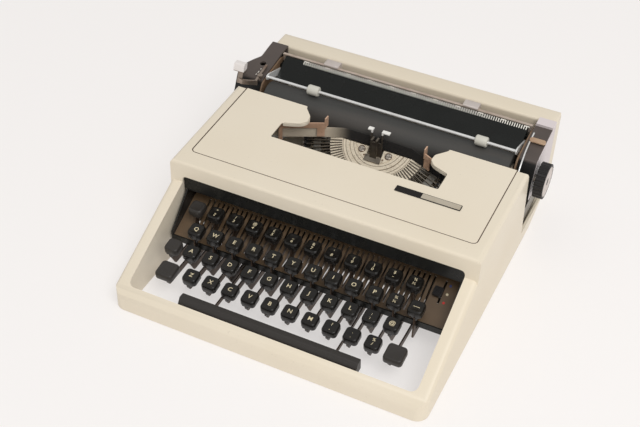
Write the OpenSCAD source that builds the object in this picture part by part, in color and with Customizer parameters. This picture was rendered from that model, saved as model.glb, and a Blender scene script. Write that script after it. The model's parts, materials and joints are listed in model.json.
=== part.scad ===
// Portable typewriter, millimetres. X to the right, Y to the back, Z up.
// The origin is on the table under the middle of the body.

/* [Body] */
// Width of the body across its two side walls
body_w = 291; // [260:1:320]
// Depth of the body from the front rail to the rear casing
body_d = 332; // [320:1:345]
// Thickness of the moulded body wall
wall_t = 2.5; // [2:0.1:3.5]
// Width of each side rail beside the keyboard
rail_w = 12; // [9:0.5:16]
// Thickness of the front rail
front_rail = 8; // [6:0.5:9]
// Height of the rail slope carried on to the front edge
rail_low = 20.5; // [18:0.5:24]
// Rounding of the front rail in side view
nose_r = 15.5; // [8:0.5:16]
// Rounding of the long upper edges
shoulder_r = 5; // [2:0.5:7]
// Rounding of the front corners in plan
corner_r = 11; // [5:0.5:14]
// Distance from the front edge to the face above the keyboard
deck_v = 104; // [102:0.5:106]
// Height of the front edge of the deck
deck_z = 91.5; // [88:0.5:93]
// Height of the top of the opening over the keyboard
well_top = 76; // [72:0.5:80]
// Height of the rear casing
casing_z = 98.5; // [96:0.5:103]
// Depth of the top of the rear casing
casing_d = 26; // [24:0.5:30]
// Height of the low walls in the carriage notch
notch_z = 15; // [10:0.5:20]
// Gap under the body, taken up by the feet
foot_gap = 1; // [0.6:0.1:2]

/* [Ribbon cover] */
// Half width of the lift-off cover opening in the deck
cover_half = 134.6; // [132:0.2:137]
// Distance along the deck to the front seam of the cover
cover_front = 17.5; // [14:0.5:22]
// Thickness of the cover
cover_t = 1.6; // [1.2:0.1:2.4]
// Gap all round the cover
cover_gap = 0.4; // [0.3:0.1:0.8]
// Half width of the type opening in the cover
type_half = 81; // [72:1:86]
// Length of the type opening, back to the rear edge of the deck
type_len = 55.5; // [48:0.5:60]

/* [Keyboard] */
// Spacing of the keys along a row
key_pitch = 19; // [18.6:0.1:19.2]
// Width of a letter key cap
cap_w = 13.5; // [12:0.5:14.5]
// Width of a shift key cap
shift_w = 17; // [15:0.5:18]
// Height of a key cap
cap_h = 7; // [5:0.5:8]
// Forward lean of the key caps in degrees
cap_lean = 8; // [0:1:12]
// Radius of the clip under a cap
clip_r = 1.8; // [1.5:0.1:2]
// Centre of a space bar arm to the number key lever on its right
arm_step = 2.05; // [1.9:0.05:2.1]
// Distance from the front edge to the top row of keys
row_v = 96.1; // [95:0.1:97.5]
// Spacing of the rows from front to back
row_step = 19.35; // [18.8:0.05:19.8]
// Height of the top row of key caps
row_z = 54.8; // [53.5:0.1:56]
// Drop from one row to the next
row_drop = 7.85; // [7.4:0.05:8.2]
// Thickness of a key lever
lever_t = 1.2; // [0.8:0.1:1.5]
// Height of a key lever
lever_h = 6; // [5:0.5:6.5]
// Height of the middle of the key levers
lever_z = 16.5; // [16:0.25:17.5]
// Radius of the rod that the levers turn on
rod_r = 1.6; // [1.2:0.1:2]
// Running clearance of each turning bore
run_gap = 0.05; // [0.02:0.01:0.09]
// Length of the space bar
space_len = 166; // [140:2:176]

/* [Type basket] */
// Radius where the slots of the segment start
slot_in = 35.5; // [34:0.5:37]
// Outer radius of the segment
seg_r = 47; // [46:0.5:50]
// Thickness of the segment
seg_t = 6; // [5:0.5:6.5]
// Number of type bars
bar_count = 44; // [30:1:44]
// Half the angle that the type bars fan over
fan_half = 75; // [65:1:75]
// Thickness of a type bar
bar_t = 0.8; // [0.6:0.1:0.9]
// Radius at the outer end of the type bars
bar_end = 73; // [70:0.5:75]
// Lean of the segment towards the typist in degrees
seg_lean = 35; // [34:0.5:36]

/* [Carriage] */
// Radius of the platen roller
platen_r = 16; // [14:0.5:16.2]
// Half length of the platen roller
platen_half = 123.5; // [118:0.5:124]
// Radius of the platen shaft
shaft_r = 3; // [2.5:0.1:3.5]
// Radius of the platen knob
knob_r = 16.5; // [14:0.5:17]
// Thickness of the platen knob
knob_t = 9; // [7:0.5:9.5]
// Radius of the paper bail rod
bail_r = 1.4; // [1.1:0.1:1.7]
// Radius of the two bail rollers
roller_r = 4.8; // [4.5:0.1:5.7]
// Width of a carriage end cap
end_w = 16.6; // [14:0.2:17]

/* [Ribbon] */
// Radius of a ribbon spool
spool_r = 20; // [16:0.5:23]
// Height of the ribbon
ribbon_h = 11; // [9:0.5:12]

/* [Hidden] */
$fn = 48;
tiny = 0.05;
y0 = -body_d / 2;
half_w = body_w / 2;
inner_half = half_w - wall_t;
well_half = half_w - rail_w;
rail_slope = 25.2;
rail_tan = tan(rail_slope);
deck_rise = 1.6;
skim = 0.1;
casing_v = body_d - casing_d;
notch_v = casing_v - 65.5;
deck_len = notch_v - 12.5 - deck_v;
type_front = deck_len - type_len;
rear_boss_v = notch_v + 6.5;
boss_x = 139.5;
boss_v = 20;
mech_datum = 306;
grid_0 = -113.45;
grid = key_pitch / 4;
pivot_v = 215;
pivot_z = 16.5;
rod_v = pivot_v + casing_v - mech_datum;
eye_r = 4;
arm_slant = 0.55;
row_x = [-114.7, -104.7, -98.8, -88.1];
row_k = [0, 2, 3, 5];
seg_v = 236.3;
seg_z = 72.8;
seg_u = 7;
platen_v = 251;
platen_z = 74;
plate_x = 127.6;
plate_t = 1.5;
comb_v = 79.4;
comb_z = 28.3;
comb_len = 46;
rail_v = 287;
rail_top = 49;
cap_x = plate_x + plate_t + 0.3;
bail_v = 252;
bail_z = 96;
bail_pv = 277;
bail_pz = 88;
post_x = 70;
post_v = 230;
spool_x = 108;
spool_v = 188;
deck_z0 = 66;
cream = [0.90, 0.85, 0.74];
black = [0.07, 0.07, 0.07];
brown = [0.33, 0.24, 0.16];
steel = [0.62, 0.62, 0.60];

function unit(v) = v / norm(v);
function snap(p) = [round(p.x * 1e4), round(p.y * 1e4)] / 1e4;
function arc(c, r, a0, a1, n) = [for (i = [0:n]) c + r * [cos(a0 + (a1 - a0) * i / n),
    sin(a0 + (a1 - a0) * i / n)]];
// One corner of a closed outline turned into an arc of radius r
function corner(a, b, c, r, n) = r <= 0 ? [b] :
    let (u = unit(a - b), w = unit(c - b), h = acos(u * w) / 2,
        s = b + u * r / tan(h), e = b + w * r / tan(h), m = b + unit(u + w) * r / sin(h),
        p = atan2(s.y - m.y, s.x - m.x), q = atan2(e.y - m.y, e.x - m.x),
        d = ((q - p + 540) % 360) - 180)
    [for (i = [0:n]) snap(m + r * [cos(p + d * i / n), sin(p + d * i / n)])];
function soften(pts, radii, n = 5) = let (k = len(pts))
    [for (i = [0:k - 1]) each corner(pts[(i + k - 1) % k], pts[i], pts[(i + 1) % k], radii[i], n)];
function box2(w, d, r, n = 4) = soften([[w / 2, -d / 2], [w / 2, d / 2], [-w / 2, d / 2],
    [-w / 2, -d / 2]], [r, r, r, r], n);
function lever_x(k) = grid_0 + grid * k;

// Side outline given as distance from the front edge and height, drawn from x0 to x1
module side(pts, x0, x1) {
    translate([x0, y0, 0])
        rotate([90, 0, 90])
            linear_extrude(height = x1 - x0)
                polygon(pts);
}

// The mechanism is drawn for a casing at mech_datum, and keeps its distance to the real one
module mechanism()
    translate([0, casing_v - mech_datum, 0])
        children();

module both() {
    children();
    mirror([1, 0, 0]) children();
}

module rod_x(v, z, r, x0, x1) {
    translate([x0, y0 + v, z])
        rotate([0, 90, 0])
            cylinder(h = x1 - x0, r = r);
}

module rod_z(x, v, r, z0, z1) {
    translate([x, y0 + v, z0])
        cylinder(h = z1 - z0, r = r);
}

module block(x0, x1, v0, v1, z0, z1) {
    translate([x0, y0 + v0, z0])
        cube([x1 - x0, v1 - v0, z1 - z0]);
}

// Places things along the deck: Y is the distance back from its front edge, Z = 0 its surface
module on_deck() {
    translate([0, y0 + deck_v, deck_z])
        rotate([deck_rise, 0, 0])
            children();
}

// Solid between two equal outlines of different size, for cap tops and other tapers
module taper(a, b, z0, z1) {
    n = len(a);
    polyhedron(
        points = concat([for (p = a) [p.x, p.y, z0]], [for (p = b) [p.x, p.y, z1]]),
        faces = concat([[for (i = [0:n - 1]) i]],
            [[for (i = [0:n - 1]) 2 * n - 1 - i]],
            [for (i = [0:n - 1]) [i, n + i, n + (i + 1) % n, (i + 1) % n]]));
}

// Body

module plan_outline() {
    translate([0, 0, -1])
        linear_extrude(height = 130)
            polygon(box2(2 * half_w + skim, body_d + skim, corner_r, 6));
}

// The forms that round the body are this much wider, so that their flat sides lie off its own
function section(top) = let (w = half_w + skim / 2) soften([[w, -200], [w, top], [-w, top],
    [-w, -200]], [0, shoulder_r, shoulder_r, 0], 6);

module rails_form() {
    intersection() {
        side(soften([[0, foot_gap], [0, rail_low], [deck_v + 6, rail_low + (deck_v + 6) * rail_tan],
            [deck_v + 6, foot_gap]], [0, nose_r, 0, 0], 8), -half_w, half_w);
        plan_outline();
        translate([0, y0, rail_low])
            rotate([rail_slope, 0, 0])
                translate([0, 160, 0])
                    rotate([90, 0, 0])
                        linear_extrude(height = 220)
                            polygon(section(0));
    }
}

module deck_form() {
    top_rear = deck_z + deck_len * tan(deck_rise);
    intersection() {
        side(soften([[deck_v, foot_gap], [deck_v, deck_z], [deck_v + deck_len, top_rear],
            [notch_v, notch_z], [notch_v, foot_gap]], [0, 3.5, 3, 0, 0]), -half_w, half_w);
        on_deck()
            translate([0, 160, 0])
                rotate([90, 0, 0])
                    linear_extrude(height = 200)
                        polygon(section(0));
    }
}

module casing_form() {
    intersection() {
        side(soften([[notch_v, foot_gap], [notch_v, notch_z], [casing_v, notch_z], [casing_v, casing_z],
            [body_d, casing_z], [body_d, 40], [body_d - 32, 11], [body_d - 64, foot_gap]],
            [0, 0, 4, 3, 10, 14, 12, 20], 6), -half_w, half_w);
        plan_outline();
        translate([0, -y0 + 1, 0])
            rotate([90, 0, 0])
                linear_extrude(height = 110)
                    polygon(section(casing_z));
    }
}

module body_inside() {
    lid = deck_z - wall_t;
    open_v = notch_v + 11.5;
    intersection() {
        side([[deck_v + wall_t, -1], [deck_v + wall_t, lid],
            [open_v, lid + deck_len * tan(deck_rise)], [open_v, 130], [casing_v, 130],
            [casing_v, 50], [casing_v + wall_t, 50], [casing_v + wall_t, casing_z - wall_t],
            [body_d - 10, casing_z - wall_t], [body_d - wall_t, casing_z - 10],
            [body_d - wall_t, 41.4], [body_d - 33, 13.8], [body_d - 64, 3.6], [body_d - 68, -1]],
            -half_w, half_w);
        translate([0, 0, -2])
            linear_extrude(height = 140)
                polygon(box2(2 * inner_half, body_d, corner_r + 1, 6));
    }
    on_deck()
        translate([0, 0, -wall_t - 1])
            linear_extrude(height = 8)
                polygon(soften([[cover_half, cover_front], [cover_half, 160],
                    [-cover_half, 160], [-cover_half, cover_front]], [4.5, 0, 0, 4.5]));
}

module key_well() {
    translate([0, y0, -1])
        linear_extrude(height = 130)
            polygon(soften([[well_half, front_rail], [well_half, deck_v + tiny],
                [-well_half, deck_v + tiny], [-well_half, front_rail]], [6, 0, 0, 6]));
    translate([0, y0 + deck_v + wall_t + 1, 0])
        rotate([90, 0, 0])
            linear_extrude(height = wall_t + 2)
                polygon(soften([[well_half, -1], [well_half, well_top], [-well_half, well_top],
                    [-well_half, -1]], [0, 4, 4, 0]));
    both()
        side([[front_rail + 1, -1], [front_rail + 1, rail_low + 1.5],
            [deck_v - 0.5, rail_low - 2.9 + (deck_v - 0.5) * rail_tan], [deck_v - 0.5, -1]],
            well_half + wall_t, inner_half);
}

module body_shell() color(cream) {
    difference() {
        union() {
            rails_form();
            deck_form();
            casing_form();
        }
        key_well();
        body_inside();
    }
    on_deck() {
        both()
            translate([cover_half - 3.6, cover_front - 4, -cover_t - 2])
                cube([inner_half - cover_half + 3.7, deck_len - cover_front + 2, 1.7]);
        translate([-cover_half, wall_t - 0.2, -cover_t - 2])
            cube([2 * cover_half, cover_front + 1.2, 1.7]);
    }
    both() {
        rod_z(boss_x, boss_v, 3.9, foot_gap, 12);
        rod_z(boss_x, rear_boss_v, 3.9, foot_gap, 7);
        block(boss_x + 1.5, half_w - 1, rear_boss_v - 5, rear_boss_v + 5, foot_gap, 7);
    }
}

module feet() color(black)
    both()
        for (v = [boss_v, rear_boss_v])
            rod_z(boss_x, v, 5, 0, foot_gap);

module chassis() color(steel) {
    difference() {
        union() {
            block(-inner_half + 0.4, inner_half - 0.4, 130, 238, 3, 4.5);
            block(-133, 133, 237, 262, 3, 4.5);
            both()
                side([[222, 4.4], [236, 4.4], [250, 13], [270, 13], [296, 18], [296, 30], [291, 38],
                    [283, 38], [240, 30], [222, 20]], inner_half - 3.4, inner_half - 1.4);
            for (x = [-125.5, 121.5])
                side(soften([[207, 4.4], [207, pivot_z + 6], [223, pivot_z + 6], [223, 4.4]],
                    [0, 4, 4, 0]), x, x + 2);
            both()
                rod_z(post_x, post_v, 2, 4.4, 62);
            block(-5, 5, 226.6, 228.4, 4.4, 46);
        }
        rod_x(pivot_v, pivot_z, rod_r + run_gap, -130, 130);
    }
}

module pivot_rod() color(steel) {
    rod_x(pivot_v, pivot_z, rod_r, -126.5, 124.5);
    rod_x(pivot_v, pivot_z, rod_r + 1.2, -127.6, -125.8);
    rod_x(pivot_v, pivot_z, rod_r + 1.2, 123.8, 125.6);
}

module well_trim() color(black) {
    x1 = well_half - 0.4;
    difference() {
        block(-x1, x1, deck_v + wall_t + 0.3, deck_v + wall_t + 1.8, 60, well_top + 3);
        both()
            block(x1 - 2, x1 + 1, deck_v - 1, deck_v + 8, 50, 61);
    }
    both()
        side([[comb_v - 1.6, comb_z - 7], [comb_v - 1.6, comb_z + 4], [deck_v + 4.3, 62],
            [126, 62], [126, 40], [comb_v + 8, comb_z - 7]], x1 - 3, x1 - 1.5);
    block(-x1 + 1.5, x1 - 1.5, comb_v - 1.6, comb_v - 0.3, comb_z - 5.5, comb_z + 0.6);
}

module key_comb() color(brown)
    translate([0, y0 + comb_v, comb_z])
        rotate([rail_slope, 0, 0])
            difference() {
                translate([-well_half + 3.7, 0, -1.2])
                    cube([2 * well_half - 7.4, comb_len, 1.2]);
                for (k = [0:46])
                    translate([lever_x(k) - 0.95, 5, -3])
                        cube([1.9, comb_len - 8, 6]);
                translate([114.6, 20, -3])
                    cube([2, 22, 6]);
            }

// Right half of the type opening: half width, and distance ahead of the deck's rear edge
type_side = [[type_half, type_len], [type_half, 32.5], [66, 27], [61, 21], [61.5, 13], [70, 3],
    [76, -16]];
type_edge = concat(type_side, [for (i = [len(type_side) - 1:-1:0]) [-type_side[i].x, type_side[i].y]]);

module ribbon_cover() color(cream) {
    e = cover_half - cover_gap;
    f = cover_front + cover_gap;
    on_deck() {
        translate([0, 0, -cover_t])
            linear_extrude(height = cover_t)
                difference() {
                    polygon(soften([[e, f], [e, deck_len], [-e, deck_len], [-e, f]],
                        [4.2, 1, 1, 4.2]));
                    polygon(soften([for (p = type_edge) [p.x, deck_len - p.y]],
                        [1.5, 3, 5, 4, 6, 3, 0, 0, 3, 6, 4, 5, 3, 1.5]));
                }
        for (y = [cover_front + 8.5, type_front - 6.5])
            translate([-120, y, -cover_t - 3])
                cube([240, 1.6, 3.1]);
        both()
            translate([118.4, cover_front + 8.5, -cover_t - 3])
                cube([1.6, deck_len - cover_front - 16.5, 3.1]);
    }
}

module name_plate() color(steel)
    on_deck()
        translate([78, type_front - 15, 0])
            linear_extrude(height = 0.8)
                polygon(box2(61, 8, 1));

// Keys

// Moulded cap with its top centre at the origin, and the clip under it at x = clip
module key_cap(w, clip) {
    rotate([cap_lean, 0, 0]) {
        translate([0, 0, -cap_h])
            linear_extrude(height = cap_h - 1.6)
                polygon(box2(w, w, 3));
        taper(box2(w, w, 3), box2(w - 1.8, w - 1.8, 2.6), -1.6 - tiny, 0);
        translate([clip, -4.6, -cap_h - 3])
            cylinder(h = 3.2, r = clip_r);
    }
}

// Lever from the pivot rod forward to v, with a stem up to z that leans back by slant going down
module key_lever(x, v, z, slant) {
    lo = lever_z - lever_h / 2;
    hi = lever_z + lever_h / 2;
    back = slant * (z - lo);
    difference() {
        union() {
            side([[v - 2.6 + back, lo], [rod_v - 11, lo], [rod_v, pivot_z - 3.6],
                [rod_v, pivot_z + 3.6], [rod_v - 11, hi], [v + 2.6 + 1.2 * back, hi],
                [v + 2.6, z], [v - 2.6, z]],
                x - lever_t / 2, x + lever_t / 2);
            rod_x(rod_v, pivot_z, eye_r, x - lever_t / 2, x + lever_t / 2);
        }
        rod_x(rod_v, pivot_z, rod_r + run_gap, x - 5, x + 5);
    }
}

module key(cx, v, z, k, w, slant = 0) {
    color(black)
        translate([cx, y0 + v, z])
            key_cap(w, lever_x(k) - cx);
    color(brown)
        key_lever(lever_x(k), v - 3.1, z - cap_h - 1.5, slant);
}

module row_key(row, i) {
    key(row_x[row] + key_pitch * i, row_v - row * row_step, row_z - row * row_drop,
        row_k[row] + 4 * i, cap_w, row > 1 ? arm_slant : 0);
}

module space_bar() {
    lo = lever_z - lever_h / 2;
    hi = lever_z + lever_h / 2;
    color(black)
        side(soften([[front_rail + 1.6, 15.5], [front_rail + 1.2, 22.5], [front_rail + 4.6, 28.3],
            [front_rail + 11, 28], [front_rail + 12.2, 15.5]], [1, 3, 1.6, 1.6, 1]),
            -2 - space_len / 2, -2 + space_len / 2);
    color(brown)
        for (x = [lever_x(12) - arm_step, lever_x(36) - arm_step])
            difference() {
                union() {
                    side([[front_rail + 11, lo], [rod_v - 11, lo], [rod_v, pivot_z - 3.6],
                        [rod_v, pivot_z + 3.6], [rod_v - 11, hi], [74, hi], [70, hi - 2],
                        [front_rail + 11, hi - 2]],
                        x - lever_t / 2, x + lever_t / 2);
                    rod_x(rod_v, pivot_z, eye_r, x - lever_t / 2, x + lever_t / 2);
                }
                rod_x(rod_v, pivot_z, rod_r + run_gap, x - 5, x + 5);
            }
}

module shift_bail() {
    v = row_v - 3 * row_step - 2;
    z = row_z - 3 * row_drop - 1;
    key(-111, v, z, 1, shift_w, arm_slant);
    key(103.5, v, z, 45, shift_w, arm_slant);
    color(brown) {
        for (k = [1, 45])
            difference() {
                side([[rod_v, pivot_z - 2.4], [rod_v + 7.4, pivot_z - 2.4],
                    [rod_v + 7.4, pivot_z + 2.4], [rod_v, pivot_z + 2.4]],
                    lever_x(k) - lever_t / 2, lever_x(k) + lever_t / 2);
                rod_x(rod_v, pivot_z, rod_r + run_gap, lever_x(k) - 5, lever_x(k) + 5);
            }
        rod_x(rod_v + 7.2, pivot_z, 2.2, lever_x(1), lever_x(45));
    }
}

module shift_lock() {
    key(-116.9, row_v - 2 * row_step, row_z - 2 * row_drop, -1, cap_w, arm_slant);
}

module ribbon_selector() color(black)
    translate([0, y0 + comb_v, comb_z])
        rotate([rail_slope, 0, 0]) {
            translate([108.6, 25, 0.4])
                linear_extrude(height = 4.4)
                    polygon([for (p = box2(8, 9, 1.5)) p + [4, 4.5]]);
            translate([115.1, 27, -4])
                cube([1, 5, 6]);
            translate([113, 27, 0.5])
                cube([3.1, 5, 1.5]);
        }

// Type basket

// Segment plane: the arc is centred on the origin, the typist's side is -Y, Z = 0 its face
module on_segment() {
    translate([0, y0 + seg_v, seg_z])
        rotate([seg_lean, 0, 0])
            children();
}

function fan(i) = -fan_half + 2 * fan_half * i / (bar_count - 1);

module segment() color(steel)
    on_segment()
        difference() {
            translate([0, 0, -seg_t])
                intersection() {
                    cylinder(h = seg_t, r = seg_r);
                    translate([-60, -60, -1])
                        cube([120, 60 - seg_u, 20]);
                }
            for (r = [21.2, 27.6])
                difference() {
                    translate([0, 0, -0.8])
                        cylinder(h = 2, r = r + 1.1);
                    translate([0, 0, -2])
                        cylinder(h = 4, r = r);
                }
            for (i = [0:bar_count - 1])
                rotate([0, 0, fan(i)])
                    translate([-0.7, -seg_r - 2, -4.5])
                        cube([1.4, seg_r + 2 - slot_in, 6]);
            translate([-7.5, -14.6, -seg_t - 1])
                cube([15, 14.6, seg_t + 2]);
        }

module type_bars() color(steel)
    on_segment()
        for (i = [0:bar_count - 1])
            rotate([0, 0, fan(i)]) {
                translate([-bar_t / 2, -bar_end + 1, -4.5])
                    cube([bar_t, bar_end - 1 - slot_in - 0.5, 3.6]);
                translate([-1.5, -bar_end, -4.9])
                    cube([3, 3.4, 7.4]);
            }

module basket_frame() color(steel)
    difference() {
        union() {
            on_segment() {
                both()
                    translate([14, -14, -seg_t - 2])
                        cube([68, 14 - seg_u, 2]);
                translate([-14 - tiny, -9.8, -seg_t - 2])
                    cube([28 + 2 * tiny, 9.8 - seg_u, 2]);
                both()
                    translate([50, -12, -seg_t - tiny])
                        cube([32, 12 - seg_u, seg_t - 0.5]);
                difference() {
                    translate([0, 0, -seg_t - 1])
                        cylinder(h = seg_t - 3.5, r = 64);
                    translate([0, 0, -seg_t - 4])
                        cylinder(h = 12, r = 57);
                    translate([-70, -seg_u - 5, -20])
                        cube([140, 90, 30]);
                }
                both()
                    translate([57, -12, -seg_t - 1])
                        cube([7, 6, 2]);
            }
            both()
                rod_z(post_x, post_v, 4.2, 50, 64.4);
        }
        both()
            rod_z(post_x, post_v, 2 + run_gap, 40, 80);
    }

module type_guide() color(steel) {
    on_segment()
        translate([-8, -21, 0])
            cube([16, 6, 1.2]);
    block(-3.4, 3.4, 221.6, 222.8, 63.6, 82);
    for (x = [-3.4, 1.4])
        block(x, x + 2, 221.6, 227.6, 80.8, 84);
}

module ribbon_vibrator() color(black) {
    block(-6, 6, 228.7, 229.9, 36, 77);
    for (x = [-6, 4.4])
        block(x, x + 1.6, 228.7, 229.9, 76, 90);
    block(-9.5, -4.4, 228.7, 233, 88.8, 90);
    block(4.4, 12, 228.7, 233, 88.8, 90);
}

// Upright strip of a ribbon guide from a to b in plan, with its lower edge at z0
module guide_strip(a, b, z0)
    translate([0, y0, z0])
        linear_extrude(height = 86.2 - z0)
            polygon(band(a, b, 1.2));

module ribbon_guides() color([0.72, 0.45, 0.28])
    both() {
        block(85, 89, 198.6, 204.7, deck_z0 + 1.2, deck_z0 + 2.4);
        block(85, 86.2, 198.6, 204.7, deck_z0 + 2, 86.2);
        guide_strip([85.6, 204.2], [50, 222.6], 80.5);
        guide_strip([56.4, 219.3], [50, 222.6], 71);
        block(49, 50.2, 222, 228, 80.5, 91);
    }

module spool_decks() color(steel)
    both()
        difference() {
            union() {
                translate([0, 0, deck_z0])
                    linear_extrude(height = 1.2)
                        polygon([for (p = soften([[84.6, 160], [138, 160], [138, 228], [84.6, 228]],
                            [12, 12, 4, 4])) p + [0, y0]]);
                rod_z(131, 170, 3, 4.5, deck_z0 + 0.1);
                rod_z(131, 222, 3, 4.5, deck_z0 + 0.1);
                rod_z(spool_x, spool_v, 2, deck_z0, 86);
            }
            rod_z(spool_x, 212, 5, deck_z0 - 1, deck_z0 + 3);
        }

module spool(s) color(steel)
    difference() {
        union() {
            rod_z(s * spool_x, spool_v, spool_r, deck_z0 + 1.6, deck_z0 + 2.4);
            rod_z(s * spool_x, spool_v, 7, deck_z0 + 1.8, deck_z0 + 15.6);
            rod_z(s * spool_x, spool_v, spool_r, deck_z0 + 15, deck_z0 + 15.8);
        }
        rod_z(s * spool_x, spool_v, 2 + run_gap, deck_z0, deck_z0 + 20);
        for (a = [0:60:300])
            translate([s * spool_x + 13 * cos(a), y0 + spool_v + 13 * sin(a), deck_z0])
                cylinder(h = 20, r = 3);
    }

function band(a, b, t) = let (d = unit(b - a), n = [-d.y, d.x] * t / 2) [a + n, b + n, b - n, a - n];

module ribbon() color([0.12, 0.11, 0.13]) {
    z0 = deck_z0 + 2.4 + (12.6 - ribbon_h) / 2;
    path = [[-spool_x, spool_v + 14], [-86, 205.8], [-52, 223.4], [-34, 231.2], [0, 232.2],
        [34, 231.2], [52, 223.4], [86, 205.8], [spool_x, spool_v + 14]];
    both()
        difference() {
            rod_z(spool_x, spool_v, 14.2, z0, z0 + ribbon_h);
            rod_z(spool_x, spool_v, 7.4, z0 - 1, z0 + ribbon_h + 1);
        }
    translate([0, y0, z0])
        linear_extrude(height = ribbon_h)
            for (i = [0:len(path) - 2]) {
                polygon(band(path[i], path[i + 1], 0.5));
                translate(path[i])
                    circle(r = 0.25);
            }
}

// Carriage

module carriage_rail() color(steel) {
    block(-142.5, 142.5, rail_v - 5, rail_v + 5, 38, rail_top);
}

module carriage_frame() color(brown) {
    difference() {
        union() {
            both()
                side(soften([[241, 52], [241, 82], [247, 91], [262, 94], [286, 97], [303, 92],
                    [303, 49.4], [270, 49.4]], [2, 4, 4, 2, 6, 4, 2, 4]),
                    plate_x, plate_x + plate_t);
            block(-plate_x - 1, plate_x + 1, 270, 303, rail_top + 0.3, rail_top + 2.8);
            for (v = [rail_v - 7.6, rail_v + 5.3])
                block(-plate_x, plate_x, v, v + 2.3, rail_top - 7, rail_top + 1);
        }
        rod_x(platen_v, platen_z, shaft_r + run_gap, -140, 140);
        rod_x(bail_pv, bail_pz, 1.5 + run_gap, -140, 140);
    }
}

cap_side = [[240, 55], [241, 72], [250, 92], [255, 94], [294, 100], [304.4, 101], [304.4, 55]];
// The left cap bulges outwards in front, round the return lever
cap_plan = [[-cap_x, 239], [-cap_x, 305], [-cap_x - end_w, 305], [-cap_x - end_w, 279], [-151, 272],
    [-155.6, 264], [-157, 254], [-157, 239]];

module cap_prism()
    translate([0, y0, 40])
        linear_extrude(height = 80)
            children();

module cap_hollow()
    intersection() {
        side([[242.5, 50], [243.2, 72], [252, 90.4], [255.4, 92.3], [294, 98.2], [302.8, 98.9],
            [302.8, 50]], -170, 170);
        children();
    }

module end_caps() color([0.23, 0.22, 0.22])
    difference() {
        union() {
            side(soften(cap_side, [2, 3, 3, 8, 6, 1.5, 2]), cap_x, cap_x + end_w);
            intersection() {
                side(soften(cap_side, [2, 3, 3, 8, 6, 1.5, 2]), -160, -120);
                cap_prism() polygon(soften(cap_plan, [0, 0, 1.5, 6, 8, 6, 6, 3], 3));
            }
            block(cap_x + 0.4, cap_x + end_w, 293, 304.3, 98, 102);
        }
        cap_hollow() side([[0, 0], [400, 0], [400, 120], [0, 120]], cap_x - 1, cap_x + end_w - 1.6);
        cap_hollow() cap_prism() polygon([for (p = cap_plan) [min(p.x + 1.7, -cap_x + 1), p.y]]);
        both()
            rod_x(platen_v, platen_z, shaft_r + 1, cap_x, cap_x + end_w + 1);
        rod_z(-139.6, 270, 3, 80, 110);
        rod_z(-133, 251, 1.5 + run_gap, 80, 110);
        rod_z(134, 272, 1.5 + run_gap, 80, 110);
    }

module platen() color([0.16, 0.16, 0.17]) {
    rod_x(platen_v, platen_z, platen_r, -platen_half, platen_half);
    rod_x(platen_v, platen_z, 7, -platen_half - 1.6, platen_half + 1.6);
    rod_x(platen_v, platen_z, shaft_r, -cap_x - end_w - 1, 151);
}

module platen_knob() color(black) {
    x0 = 158 - knob_t;
    difference() {
        rod_x(platen_v, platen_z, knob_r, x0, 158);
        rod_x(platen_v, platen_z, knob_r - 2.5, 157, 160);
        rod_x(platen_v, platen_z, shaft_r, x0 - 1, 151);
        for (a = [0:15:345])
            translate([0, y0 + platen_v + (knob_r + 0.4) * cos(a), platen_z + (knob_r + 0.4) * sin(a)])
                rotate([0, 90, 0])
                    translate([0, 0, x0 - 1])
                        cylinder(h = knob_t + 2, r = 1.1);
    }
    rod_x(platen_v, platen_z, knob_r - 3.6, 156.5, 157.8);
}

module paper_table() color(black) {
    side(soften([[267.6, 82.6], [266.8, 84.2], [289, 99.3], [290.2, 98.2], [290.2, 88],
        [288.8, 88], [288.8, 96.9]], [0.5, 0.5, 0.8, 0.8, 0.3, 0.3, 0.5]), -124, 124);
    both()
        block(123, plate_x - 0.02, 283, 290.2, 88.4, 92);
}

module margin_rail() color(steel) {
    block(-plate_x + 0.02, plate_x - 0.02, 290.4, 292, 90, 100.4);
    block(-plate_x + 0.02, plate_x - 0.02, 289.2, 292, 99.6, 100.4);
}

module margin_stop(x) color([0.75, 0.74, 0.70])
    difference() {
        side(soften([[289, 98.4], [289, 102.6], [299, 102.6], [300.4, 95], [297, 88], [292.4, 88],
            [292.4, 98.4]], [0, 1.5, 2, 1, 0, 0, 0]), x - 7.5, x + 7.5);
        block(x - 8, x + 8, 287, 292.3, 88, 100.7);
        both_ends(x)
            block(0, 2, 280, 310, 80, 97);
    }

module both_ends(x) {
    for (s = [-8, 6])
        translate([x + s, 0, 0])
            children();
}

module paper_bail() color(steel) {
    rod_x(bail_v, bail_z, bail_r, -125.9, 125.9);
    both() {
        side(soften([[bail_v - 2.4, bail_z - 2.4], [bail_v - 2.4, bail_z + 2.4],
            [bail_v + 3, bail_z + 2.2], [bail_pv + 2.5, bail_pz + 2.6], [bail_pv + 3.5, bail_pz - 3],
            [bail_pv - 3, bail_pz - 3]], [2, 2, 2, 2.2, 2.2, 2]), 124.6, 125.9);
        rod_x(bail_pv, bail_pz, 1.5, 125.5, plate_x + plate_t + 0.2);
    }
}

module bail_rollers() color([0.72, 0.72, 0.68])
    difference() {
        union() {
            rod_x(bail_v, bail_z, roller_r, -82, -70.5);
            rod_x(bail_v, bail_z, roller_r, 86.5, 98);
        }
        rod_x(bail_v, bail_z, bail_r + run_gap, -90, 110);
    }

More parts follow.
